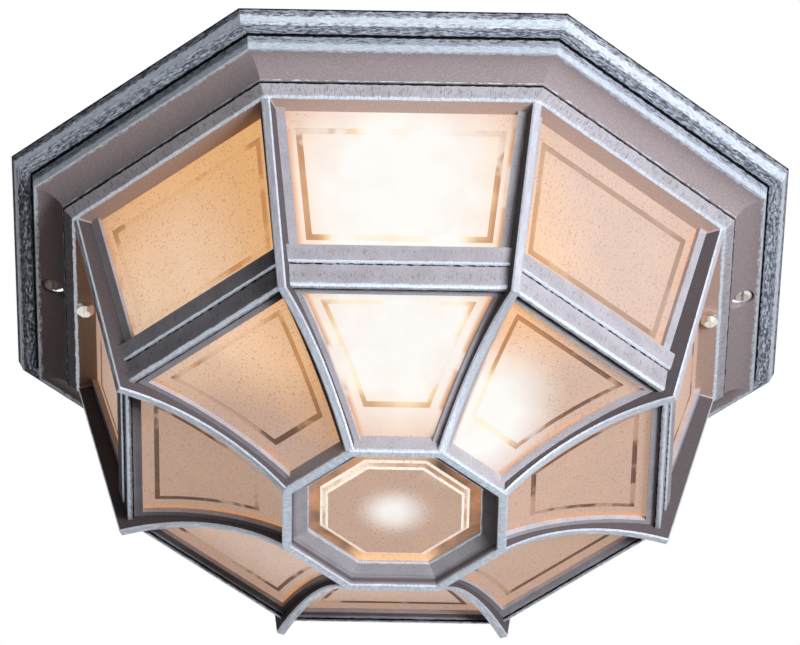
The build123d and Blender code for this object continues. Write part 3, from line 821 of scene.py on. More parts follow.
@dataclass(frozen=True)
class FrostedGlass:
    """Seeded, frosted glass lit from behind, with the lamps' light painted into its emission
    colour.
    """

    name: str
    plan: Octagon
    hot: tuple[Light, ...]
    warm: tuple[Light, ...]

    # Colours
    dull: Colour = (0.42, 0.275, 0.205)
    amber: Colour = (0.74, 0.40, 0.16)
    white: Colour = (0.92, 0.905, 0.875)
    body: Colour = (0.29, 0.215, 0.185)
    clear: Colour = (0.06, 0.052, 0.046)
    seed: Colour = (0.20, 0.105, 0.065)
    # Painted shade of the stiles, ribs and rails
    frame_shade: Colour = (0.62, 0.26, 0.085)

    # Painted shade of the stiles, ribs and rails on the glass
    frame_shade_width: float = 0.0023
    frame_shade_share: float = 0.85
    frame_shade_patch: float = 45.0
    frame_shade_span: Span = (0.1, 0.5)
    stile_land: float = 0.004
    rib_land: float = 0.0036
    rail_level: float = -0.078
    rail_top: float = -0.0713

    # Surface
    strength: float = 1.0
    grain_fine: float = 1250.0
    cloud_share: float = 0.16
    seed_share: float = 0.55
    seed_span: Span = (0.2, 0.7)
    smooth: float = 0.38
    frost: float = 0.2
    relief: float = 0.0004
    relief_share: float = 0.4

    def light(self, graph: Graph, effects: Effects, places: tuple[Light, ...]) -> Socket:
        """Sum of the light on the glass.

        Args:
            graph: Graph of the material.
            effects: Shared effects.
            places: Where the light falls.

        Returns:
            The light, between 0 and 1.
        """
        total: Feed = 0.0
        for one in places:
            glow = graph.group(effects.glow, Place=graph.place(), Centre=one.centre, Full=one.full,
                               None_=one.none).outputs["Glow"]
            glow = graph.times(glow, one.share)
            if one.side:
                glow = graph.times(glow, self.on_side(graph, one.side))
            total = graph.plus(total, glow, clamp=True)
        return total

    def on_side(self, graph: Graph, number: int) -> Socket:
        """Mask of one side of the octagon.

        Args:
            graph: Graph of the material.
            number: Number of the side.

        Returns:
            The mask.
        """
        outward = self.plan.point(number, 1.0, 0.0, 0.0)
        along = self.plan.point(number, 0.0, self.plan.side_ratio ** -1, 0.0)
        parts = []
        for direction in (outward, along):
            dot = graph.node("ShaderNodeVectorMath", operation="DOT_PRODUCT")
            graph.feed(dot.inputs[0], graph.place())
            dot.inputs[1].default_value = direction
            parts.append(dot.outputs["Value"])
        return graph.calc("LESS_THAN", graph.calc("ABSOLUTE", parts[1]), parts[0])

    def patches(self, graph: Graph, effects: Effects, size: float) -> Socket:
        """Soft patches on the glass.

        Args:
            graph: Graph of the material.
            effects: Shared effects.
            size: Patches in a metre.

        Returns:
            Their mask.
        """
        brush = graph.group(effects.brush, Place=graph.place(), Fine=size, Long=size)
        return brush.outputs["Stroke"]

    def field_light(self, graph: Graph, hot: Socket, warm: Socket) -> Socket:
        """Colour of the field from dull through amber to white."""
        return graph.blend(hot, graph.blend(warm, self.dull, self.amber), self.white)

    def edge(self, graph: Graph, effects: Effects) -> Socket:
        """Mask of the painted shade of the stiles, ribs and rails on the glass.

        Args:
            graph: Graph of the material.
            effects: Shared effects.

        Returns:
            The mask.
        """
        place = graph.group(effects.octagon).outputs
        level = graph.split(place["Section"])[2]
        low = graph.calc("LESS_THAN", level, self.rail_level)
        land = graph.plus(self.stile_land, graph.times(low, self.rib_land - self.stile_land))
        inside = graph.minus(place["Land"], land)
        above = graph.calc("ABSOLUTE", graph.minus(level, self.rail_top))
        near = graph.calc("MINIMUM", inside, above)
        edge = graph.inverse(graph.ramp(near, 0.0, self.frame_shade_width))
        patches = self.patches(graph, effects, self.frame_shade_patch)
        return graph.times(edge, graph.ramp(patches, *self.frame_shade_span))

    def lit(self, graph: Graph, effects: Effects, hot: Socket, warm: Socket) -> Socket:
        """Colour of the lit field.

        Args:
            graph: Graph of the material.
            effects: Shared effects.
            hot: White light on the glass.
            warm: Amber light on the glass.

        Returns:
            The colour.
        """
        # Painted shade of the stiles, ribs and rails over the lit field
        edge = graph.times(self.edge(graph, effects), self.frame_shade_share)
        return graph.blend(edge, self.field_light(graph, hot, warm), self.frame_shade)

    def material(self, effects: Effects) -> bpy.types.Material:
        """Make the material.

        Args:
            effects: Shared effects.

        Returns:
            The material.
        """
        made, graph, shader = new_material(self.name)
        grain = graph.group(effects.grain, Place=graph.place(), Fine=self.grain_fine).outputs
        hot = self.light(graph, effects, self.hot)
        warm = self.light(graph, effects, self.warm)
        cloud = graph.times(graph.minus(grain["Drift"], 0.5), self.cloud_share)
        lit = self.lit(graph, effects,
                       graph.plus(hot, graph.times(cloud, hot), clamp=True),
                       graph.plus(warm, cloud, clamp=True))
        unlit = graph.minus(self.seed_share, graph.ramp(hot, *self.seed_span))
        seeds = graph.times(grain["Speck"], unlit, clamp=True)
        # Darker base colour where the painted light is hottest
        body = graph.blend(hot, self.body, self.clear)
        graph.feed(shader.inputs["Base Color"], graph.blend(seeds, body, self.seed))
        # The lamps' light on the glass, painted into the emission colour
        graph.feed(shader.inputs["Emission Color"], graph.blend(seeds, lit, self.seed))
        rough = graph.plus(self.smooth, graph.times(grain["Height"], self.frost))
        graph.feed(shader.inputs["Roughness"], rough)
        set_plain(shader, Emission_Strength=self.strength, Metallic=0.0, IOR=1.5,
                  Specular_IOR_Level=0.25)
        set_relief(graph, shader, grain["Height"], self.relief, self.relief_share)
        return made


@dataclass(frozen=True)
class CutGlass(FrostedGlass):
    """Clear lines cut in the frosted glass, which look brown and vanish here and there."""

    body: Colour = (0.08, 0.04, 0.025)
    brown: Colour = (0.06, 0.030, 0.024)
    orange: Colour = (0.52, 0.23, 0.08)
    gold: Colour = (1.0, 0.74, 0.34)
    hidden: tuple[Light, ...] = ()
    line_patch: float = 44.0
    line_span: Span = (0.18, 0.55)
    line_share: float = 0.9
    drowned_span: Span = (0.7, 1.0)
    drowned_share: float = 0.6
    orange_gain: float = 1.6
    gold_span: Span = (0.6, 0.95)

    def lit(self, graph: Graph, effects: Effects, hot: Socket, warm: Socket) -> Socket:
        """Colour of the cut lines, turned orange and gold by the painted lamp light, which the
        strongest light hides.

        Args:
            graph: Graph of the material.
            effects: Shared effects.
            hot: White light on the glass.
            warm: Amber light on the glass.

        Returns:
            The colour.
        """
        field_light = super().lit(graph, effects, hot, warm)
        drowned = graph.times(graph.ramp(hot, *self.drowned_span), self.drowned_share)
        patches = self.patches(graph, effects, self.line_patch)
        seen = graph.times(graph.ramp(patches, *self.line_span), graph.inverse(drowned))
        seen = graph.times(seen, graph.inverse(self.light(graph, effects, self.hidden)))
        tone = graph.calc("MAXIMUM", warm, graph.times(hot, self.orange_gain), clamp=True)
        ink = graph.blend(tone, self.brown, self.orange)
        ink = graph.blend(graph.ramp(hot, *self.gold_span), ink, self.gold)
        return graph.blend(graph.times(seen, self.line_share), field_light, ink)


@dataclass(frozen=True)
class CentreGlass(FrostedGlass):
    """The bevelled glass of the centre ring, with painted light in its bevel, painted glints along
    the bevel's edges and a dark line of painted shade at its foot, lit at its ends.
    """

    # Painted glints along the bevel's edges
    edge_glint: Colour = (0.92, 0.85, 0.76)
    cream: Colour = (0.88, 0.75, 0.58)
    brown: Colour = (0.42, 0.21, 0.12)
    margin: Colour = (0.46, 0.20, 0.08)
    shade: Colour = (0.05, 0.030, 0.025)
    shining: Colour = (0.90, 0.52, 0.26)
    ends: tuple[Light, ...] = ()
    face: float = 0.0228
    foot: float = 0.0255
    line_width: float = 0.0008
    blur: float = 0.0002
    band_patch: float = 42.0

    def lit(self, graph: Graph, effects: Effects, hot: Socket, warm: Socket) -> Socket:
        """Colour of the field and of the bands that follow the octagon, which paint glints on the
        bevel's edges, light in the bevel, and shade and light in the margin.

        Args:
            graph: Graph of the material.
            effects: Shared effects.
            hot: White light on the glass.
            warm: Amber light on the glass.

        Returns:
            The colour.
        """
        light = self.field_light(graph, hot, warm)
        patches = self.patches(graph, effects, self.band_patch)
        apothem = graph.split(graph.group(effects.octagon).outputs["Section"])[0]
        margin = graph.blend(patches, self.margin, self.shade)
        margin = graph.blend(self.light(graph, effects, self.ends), margin, self.shining)
        bands = (
            (self.face, self.edge_glint),
            (self.face + self.line_width, graph.blend(patches, self.cream, self.brown)),
            (self.foot - self.line_width, self.edge_glint),
            (self.foot, margin),
        )
        for start, colour in bands:
            light = graph.blend(graph.ramp(apothem, start - self.blur, start), light, colour)
        return light


@dataclass(frozen=True)
class Grained:
    """A plain finish with a fine grain that darkens and dulls it here and there."""

    name: str
    colour: Colour
    shade: Colour
    smooth: float
    dull: float
    fine: float = 900.0
    relief: float = 0.0002
    coat: float = 0.0
    metal: float = 0.0
    shade_share: float = 0.5
    relief_share: float = 0.3

    def material(self, effects: Effects) -> bpy.types.Material:
        """Make the material.

        Args:
            effects: Shared effects.

        Returns:
            The material.
        """
        made, graph, shader = new_material(self.name)
        grain = graph.group(effects.grain, Place=graph.place(), Fine=self.fine).outputs
        tone = graph.times(graph.plus(grain["Drift"], grain["Speck"]), self.shade_share)
        graph.feed(shader.inputs["Base Color"], graph.blend(tone, self.colour, self.shade))
        rough = graph.plus(self.smooth, graph.times(tone, self.dull))
        graph.feed(shader.inputs["Roughness"], rough)
        set_plain(shader, Metallic=self.metal, Coat_Weight=self.coat)
        set_relief(graph, shader, grain["Height"], self.relief, self.relief_share)
        return made


@dataclass(frozen=True)
class Moulded(Grained):
    """Rubber, foam, porcelain or paint."""


@dataclass(frozen=True)
class Plate(Grained):
    """Bright metal, plated or unplated."""

    relief: float = 0.0001
    metal: float = 1.0
    shade_share: float = 0.4
    relief_share: float = 0.2


@dataclass(frozen=True)
class LitBulb:
    """Frosted bulb that is switched on, whiter at its ball than at its neck."""

    name: str
    radius: float
    ball: Colour = (0.98, 0.88, 0.70)
    neck: Colour = (0.92, 0.54, 0.24)
    shell: Colour = (0.25, 0.235, 0.21)
    strength: float = 0.8
    ball_reach: float = 0.95
    neck_reach: float = 1.6
    fine: float = 500.0
    speck_share: float = 0.15
    relief: float = 0.0001
    relief_share: float = 0.2

    def material(self, effects: Effects, centre: Vector) -> bpy.types.Material:
        """Make the material.

        Args:
            effects: Shared effects.
            centre: Middle of the bulb's ball.

        Returns:
            The material.
        """
        made, graph, shader = new_material(self.name)
        grain = graph.group(effects.grain, Place=graph.place(), Fine=self.fine).outputs
        away = graph.node("ShaderNodeVectorMath", operation="DISTANCE")
        graph.feed(away.inputs[0], graph.place())
        away.inputs[1].default_value = centre
        tone = graph.ramp(away.outputs["Value"], self.radius * self.ball_reach,
                          self.radius * self.neck_reach)
        tone = graph.calc("MAXIMUM", tone, graph.times(grain["Speck"], self.speck_share))
        graph.feed(shader.inputs["Base Color"], self.shell)
        graph.feed(shader.inputs["Emission Color"], graph.blend(tone, self.ball, self.neck))
        set_plain(shader, Emission_Strength=self.strength, Roughness=0.35, Metallic=0.0)
        set_relief(graph, shader, grain["Height"], self.relief, self.relief_share)
        return made


def dress(material: bpy.types.Material, *nodes: str) -> None:
    """Give CAD nodes a material.

    Args:
        material: The finish.
        nodes: Names of the nodes.
    """
    for name in nodes:
        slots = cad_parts[name].data.materials
        if len(slots) == 0:
            slots.append(material)
        for index in range(len(slots)):
            slots[index] = material
        LOG.info("dressed %s with %s", name, material.name)


def mesh_object(name: str, mesh: bmesh.types.BMesh, materials: list[bpy.types.Material],
                sharp: float = math.radians(14)) -> bpy.types.Object:
    """Turn a mesh under construction into an object.

    Args:
        name: Name of the piece.
        mesh: Its mesh, which is freed.
        materials: Its finishes in order.
        sharp: Angle from which an edge stays sharp.

    Returns:
        The new object.
    """
    bmesh.ops.recalc_face_normals(mesh, faces=mesh.faces)
    for face in mesh.faces:
        face.smooth = True
    for edge in mesh.edges:
        edge.smooth = len(edge.link_faces) == 2 and edge.calc_face_angle(0.0) < sharp
    data = bpy.data.meshes.new(name)
    mesh.to_mesh(data)
    mesh.free()
    for material in materials:
        data.materials.append(material)
    made = bpy.data.objects.new(name, data)
    bpy.context.scene.collection.objects.link(made)
    return made


@dataclass
class Pane:
    """A pane with clear lines cut into its outer face, parallel to its edges."""

    plan: Octagon
    side_inset: float
    cut_width: float
    cut_depth: float
    edge_margin: float
    glass: float

    def stations(self) -> list[tuple[float, Ring]]:
        """Lines across the pane from one end to the other."""
        raise NotImplementedError

    def section(self, station: float, depth: float) -> tuple[float, float]:
        """Apothem and level of the pane at a station and a depth in the glass."""
        raise NotImplementedError

    def width(self, station: float, ring: Ring) -> float:
        """Half the pane's width at a station, out to one of its lines.

        Args:
            station: Where across the pane.
            ring: The line.

        Returns:
            Half the width.
        """
        insets = {
            Ring.EDGE: self.edge_margin,
            Ring.CUT_OUTSIDE: self.side_inset,
            Ring.CUT_FLOOR: self.side_inset + self.cut_width / 2,
            Ring.INSIDE: self.side_inset + self.cut_width,
        }
        return self.section(station, 0.0)[0] * self.plan.side_ratio - insets[ring]

    def build(self, number: int, name: str, field_glass: bpy.types.Material,
              cut_glass: bpy.types.Material) -> bpy.types.Object:
        """Build the pane of one side.

        Args:
            number: Number of the side.
            name: Name of the piece.
            field_glass: Finish of the frosted field.
            cut_glass: Finish of the cut lines.

        Returns:
            The pane.
        """
        mesh = bmesh.new()
        front, kinds = self._front(mesh, number)
        back = self._back(mesh, number)
        self._front_faces(mesh, front, kinds)
        for row in range(len(front) - 1):
            mesh.faces.new([back[row][0], back[row + 1][0], back[row + 1][1], back[row][1]])
            mesh.faces.new([front[row][0], front[row + 1][0], back[row + 1][0], back[row][0]])
            mesh.faces.new([front[row][-1], back[row][1], back[row + 1][1], front[row + 1][-1]])
        mesh.faces.new([*front[0], back[0][1], back[0][0]])
        mesh.faces.new([*reversed(front[-1]), back[-1][0], back[-1][1]])
        return mesh_object(name, mesh, [field_glass, cut_glass])

    def _front(self, mesh: bmesh.types.BMesh, number: int) -> tuple[VertRows, list[list[int]]]:
        """Points of the outer face.

        Args:
            mesh: The pane's mesh.
            number: Number of the side.

        Returns:
            The points in rows across the pane, and the line that each lies on.
        """
        rings = list(Ring)
        columns = [(-1, ring) for ring in rings] + [(1, ring) for ring in reversed(rings)]
        front, kinds = [], []
        for station, row_ring in self.stations():
            points = []
            lines = [min(row_ring.value, ring.value) for _, ring in columns]
            for (sign, ring), line in zip(columns, lines):
                depth = self.cut_depth if line == Ring.CUT_FLOOR.value else 0.0
                apothem, level = self.section(station, depth)
                along = sign * self.width(station, ring)
                points.append(mesh.verts.new(self.plan.point(number, apothem, along, level)))
            front.append(points)
            kinds.append(lines)
        return front, kinds

    @staticmethod
    def _front_faces(mesh: bmesh.types.BMesh, front: VertRows, kinds: list[list[int]]) -> None:
        """Faces of the outer face, with the second finish on the cut lines.

        Args:
            mesh: The pane's mesh.
            front: Points of the outer face.
            kinds: The line that each point lies on.
        """
        for row in range(len(front) - 1):
            for column in range(len(front[row]) - 1):
                cell = [(row, column), (row, column + 1), (row + 1, column + 1), (row + 1, column)]
                face = mesh.faces.new([front[i][j] for i, j in cell])
                face.material_index = int(Ring.CUT_FLOOR.value in [kinds[i][j] for i, j in cell])

    def _back(self, mesh: bmesh.types.BMesh, number: int) -> VertRows:
        """Points of the inner face, two to a row.

        Args:
            mesh: The pane's mesh.
            number: Number of the side.

        Returns:
            The points in rows across the pane.
        """
        back = []
        for station, _ in self.stations():
            apothem, level = self.section(station, self.glass)
            half = self.width(station, Ring.EDGE)
            points = [self.plan.point(number, apothem, along, level) for along in (-half, half)]
            back.append([mesh.verts.new(point) for point in points])
        return back


@dataclass
class UpperPane(Pane):
    """A flat pane of the sloping wall."""

    head: float = 0.0
    foot: float = 0.0
    head_apothem: float = 0.0
    tilt: float = math.radians(15)
    head_inset: float = 0.0088
    foot_inset: float = 0.0086

    def section(self, station: float, depth: float) -> tuple[float, float]:
        """Apothem and level at a level and a depth in the glass."""
        apothem = self.head_apothem - (self.head - station) * math.tan(self.tilt)
        return apothem - depth / math.cos(self.tilt), station

    def stations(self) -> list[tuple[float, Ring]]:
        """Levels across the pane from its head to its foot.

        Returns:
            Each level with its line.
        """
        top = self.head - self.head_inset
        bottom = self.foot + self.foot_inset
        half = self.cut_width / 2
        return [
            (self.head, Ring.EDGE), (top, Ring.CUT_OUTSIDE), (top - half, Ring.CUT_FLOOR),
            (top - self.cut_width, Ring.INSIDE), (bottom + self.cut_width, Ring.INSIDE),
            (bottom + half, Ring.CUT_FLOOR), (bottom, Ring.CUT_OUTSIDE), (self.foot, Ring.EDGE),
        ]


@dataclass
class LowerPane(Pane):
    """A pane bent to the concave underside."""

    outer: float = 0.0
    inner: float = 0.0
    start: tuple[float, float] = (0.087748, -0.0833)
    end: tuple[float, float] = (0.0361, -0.1086)
    sagitta: float = 0.0033
    bed: float = 0.00025
    outer_inset: float = 0.0050
    inner_inset: float = 0.0098
    bends: int = 9

    def section(self, station: float, depth: float) -> tuple[float, float]:
        """Apothem and level at an apothem and a depth in the glass.

        Args:
            station: The apothem.
            depth: Depth in the glass.

        Returns:
            The apothem and the level.
        """
        run = self.start[0] - self.end[0]
        rise = self.start[1] - self.end[1]
        chord = math.hypot(run, rise)
        radius = chord**2 / (8 * self.sagitta) + self.sagitta / 2
        below = radius - self.sagitta
        centre = ((self.start[0] + self.end[0]) / 2 + below * rise / chord,
                  (self.start[1] + self.end[1]) / 2 - below * run / chord)
        lifted = radius + self.bed + depth
        return station, centre[1] + math.sqrt(lifted**2 - (station - centre[0]) ** 2)

    def stations(self) -> list[tuple[float, Ring]]:
        """Apothems across the pane from its outer end to its inner one.

        Returns:
            Each apothem with its line.
        """
        first = self.outer - self.outer_inset
        last = self.inner + self.inner_inset
        half = self.cut_width / 2
        inside_first = first - self.cut_width
        inside_last = last + self.cut_width
        bend = (inside_first - inside_last) / self.bends
        inside = [(inside_first - step * bend, Ring.INSIDE) for step in range(self.bends + 1)]
        return [
            (self.outer, Ring.EDGE), (first, Ring.CUT_OUTSIDE), (first - half, Ring.CUT_FLOOR),
            *inside,
            (last + half, Ring.CUT_FLOOR), (last, Ring.CUT_OUTSIDE),
            ((last + self.inner) / 2, Ring.EDGE), (self.inner, Ring.EDGE),
        ]


@dataclass
class Glazing:
    """All the glass of the cage, with its clips and the ring over the centre glass."""

    plan: Octagon
    effects: Effects
    near_side: int = 7
    near_left_side: int = 6
    near_right_side: int = 8
    far_side: int = 3
    far_right_side: int = 2
    far_left_side: int = 4
    cut_depth: float = 0.0004
    thickness: float = 0.003
    field_glass: FrostedGlass = field(init=False)
    cut_glass: CutGlass = field(init=False)
    centre_glass: CentreGlass = field(init=False)

    def __post_init__(self) -> None:
        """Make the finishes for the light that the lamps throw on each side."""
        hot, warm, hidden = self._hot(), self._warm(), self._hidden()
        self.field_glass = FrostedGlass("frosted_glass", self.plan, hot, warm)
        self.cut_glass = CutGlass("cut_glass", self.plan, hot, warm, hidden=hidden)
        ends = (
            Light((0.0, 0.0285, -0.1085), 0.010, 0.019, 1.0),
            Light((0.0, -0.0285, -0.1085), 0.008, 0.017, 0.7),
        )
        self.centre_glass = CentreGlass("centre_glass", self.plan, hot, warm, ends=ends)

    def _hot(self) -> tuple[Light, ...]:
        """White light nearest the lamps."""
        return (
            Light((0.0, -0.0985, -0.048), 0.016, 0.058, 1.0, self.near_side),
            Light((0.0, -0.069, -0.0925), 0.012, 0.050, 1.0, self.near_side),
            Light((0.029, -0.043, -0.103), 0.011, 0.035, 1.0, self.near_right_side),
            Light((0.068, -0.068, -0.046), 0.020, 0.060, 0.15, self.near_right_side),
            Light((-0.080, -0.060, -0.062), 0.010, 0.050, 0.25, self.near_left_side),
            Light((-0.045, -0.062, -0.086), 0.005, 0.030, 0.15, self.near_left_side),
            Light((0.0, 0.0, -0.109), 0.001, 0.015, 0.9),
            Light((0.0, 0.0985, -0.044), 0.012, 0.040, 1.0, self.far_side),
            Light((0.068, 0.068, -0.042), 0.008, 0.042, 0.3, self.far_right_side),
            Light((-0.068, 0.068, -0.042), 0.008, 0.042, 0.15, self.far_left_side),
        )

    def _warm(self) -> tuple[Light, ...]:
        """Amber light further out."""
        return (
            Light((0.0, -0.085, -0.070), 0.040, 0.078, 0.9),
            Light((-0.062, -0.076, -0.040), 0.030, 0.075, 1.0, self.near_left_side),
            Light((0.0, 0.0985, -0.042), 0.024, 0.042, 0.9, self.far_side),
            Light((0.062, 0.076, -0.040), 0.022, 0.045, 1.0, self.far_right_side),
        )

    def _hidden(self) -> tuple[Light, ...]:
        """Light that hides the cut lines."""
        return (
            Light((-0.086, -0.058, -0.056), 0.022, 0.034, 1.0, self.near_left_side),
            Light((-0.057, -0.061, -0.0845), 0.010, 0.022, 1.0, self.near_left_side),
            Light((0.074, -0.072, -0.040), 0.030, 0.052, 0.75, self.near_right_side),
        )

    def upper(self) -> UpperPane:
        """Sizes of the upper panes, from the near one."""
        low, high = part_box(f"upper_pane_{self.near_side}")
        return UpperPane(
            self.plan, side_inset=0.0070, cut_width=0.0021, cut_depth=self.cut_depth,
            edge_margin=-low.y * self.plan.side_ratio - high.x, glass=self.thickness,
            head=high.z, foot=low.z, head_apothem=-low.y)

    def lower(self) -> LowerPane:
        """Sizes of the lower panes, from the near one."""
        low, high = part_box(f"lower_pane_{self.near_side}")
        return LowerPane(
            self.plan, side_inset=0.0080, cut_width=0.0017, cut_depth=self.cut_depth,
            edge_margin=-low.y * self.plan.side_ratio - high.x, glass=self.thickness,
            outer=-low.y, inner=-high.y)

    def build(self) -> None:
        """Build the panes and dress what holds them."""
        field_glass = self.field_glass.material(self.effects)
        cut_glass = self.cut_glass.material(self.effects)
        for kind, pane in (("upper", self.upper()), ("lower", self.lower())):
            for number in range(1, self.plan.sides + 1):
                node = f"{kind}_pane_{number}"
                made = pane.build(number, f"{node}_glass", field_glass, cut_glass)
                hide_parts(node)
                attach(made, Body.CAGE.value)
                LOG.info("built %s", made.name)
        dress(self.centre_glass.material(self.effects), "centre_glass")
        spring = Plate("spring_strip", (0.52, 0.53, 0.54), (0.33, 0.32, 0.31),
                       smooth=0.25, dull=0.25)
        dress(spring.material(self.effects), "upper_clips", "lower_clips")
        zinc = Plate("ring_zinc", (0.72, 0.71, 0.67), (0.5, 0.49, 0.45), smooth=0.3, dull=0.3)
        dress(zinc.material(self.effects), "glass_retainer")


@dataclass
class Castings:
    """The canopy and the cage."""

    effects: Effects
    canopy_arrises: tuple[Line, ...] = (
        Line(0.1325, -0.0036, 0.0024),
        Line(0.1255, -0.0100, 0.0025),
        Line(0.1318, -0.0052, 0.0014, 0.8),
        Line(0.1287, -0.0052, 0.0032, 0.42),
        Line(0.1152, -0.0160, 0.0006, 0.5),
    )
    # Corners of the canopy, darkened with black paint and painted shade
    canopy_seams: tuple[Line, ...] = (
        Line(0.1334, 0.0, 0.0010),
        Line(0.1262, -0.0054, 0.0011),
        Line(0.1243, -0.0117, 0.0010),
    )
    canopy_mottled: tuple[Line, ...] = (
        Line(0.1333, -0.0014, 0.0020, 0.8),
        Line(0.1289, -0.0053, 0.0040, 0.72),
        Line(0.1259, -0.0068, 0.0022, 0.45),
    )
    cage_arrises: tuple[Line, ...] = (
        Line(0.1116, -0.0204, 0.0012),
        Line(0.0938, -0.0772, 0.0009),
        Line(0.0944, -0.0713, 0.0007),
        Line(0.0918, -0.0860, 0.0018),
        Line(0.0382, -0.1136, 0.0019),
        Line(0.0367, -0.1136, 0.0018, 0.9),
        Line(0.0352, -0.1136, 0.0011),
        Line(0.0293, -0.1081, 0.0007),
    )
    # Painted shade on the steep inner wall of the centre ring
    cage_hollows: tuple[Line, ...] = (
        Line(0.0346, -0.1114, 0.0026),
    )
    # Corners of the cage, darkened with black paint and painted shade
    cage_seams: tuple[Line, ...] = (
        Line(0.1152, -0.0168, 0.0008),
        Line(0.0928, -0.0773, 0.0008),
        Line(0.0896, -0.0860, 0.0008),
    )
    cage_mottled: tuple[Line, ...] = (
        Line(0.1134, -0.0186, 0.0034, 0.36),
        Line(0.0944, -0.0735, 0.0026, 0.25),
        Line(0.0925, -0.0820, 0.0036, 0.27),
    )

    def build(self) -> None:
        """Dress both castings and their strips."""
        dress(self._canopy_paint().material(self.effects), "canopy")
        dress(self._cage_paint().material(self.effects), "cage_frame")
        foam = Moulded("foam", (0.06, 0.06, 0.065), (0.02, 0.02, 0.022),
                       smooth=0.8, dull=0.15, fine=1800.0, relief=0.0004)
        dress(foam.material(self.effects), "ceiling_gasket")
        rubber = Moulded("rubber", (0.035, 0.028, 0.026), (0.012, 0.011, 0.011),
                         smooth=0.5, dull=0.25)
        dress(rubber.material(self.effects), "cage_seal", "wire_bushing")

    def _canopy_paint(self) -> CastPaint:
        """Bluish paint of the canopy, browner in its cove."""
        return CastPaint(
            "canopy_paint", self.canopy_arrises, self.canopy_seams, self.canopy_mottled,
            body=(0.45, 0.49, 0.57), drift=(0.38, 0.41, 0.47),
            # The cove's own browner tone
            recess=Line(0.1248, -1.0, 0.0), recess_tone_and_lamp_glow=(0.38, 0.32, 0.33),
            dash_fine=1800.0, dash_long=380.0)

    def _cage_paint(self) -> CastPaint:
        """Greyer paint of the cage, with the warm light of the lamps inside it painted under its
        top ring.
        """
        return CastPaint(
            "cage_paint", self.cage_arrises, self.cage_seams, self.cage_mottled,
            body=(0.56, 0.54, 0.59), drift=(0.49, 0.465, 0.505),
            # Painted warm lamp light on the underside of the top ring
            recess=Line(0.1111, -0.0209, 0.0), recess_tone_and_lamp_glow=(0.56, 0.41, 0.355),
            dash_fine=480.0, dash_long=2200.0, hollows=self.cage_hollows,
            pale_metal=0.75, dash_share=0.4)


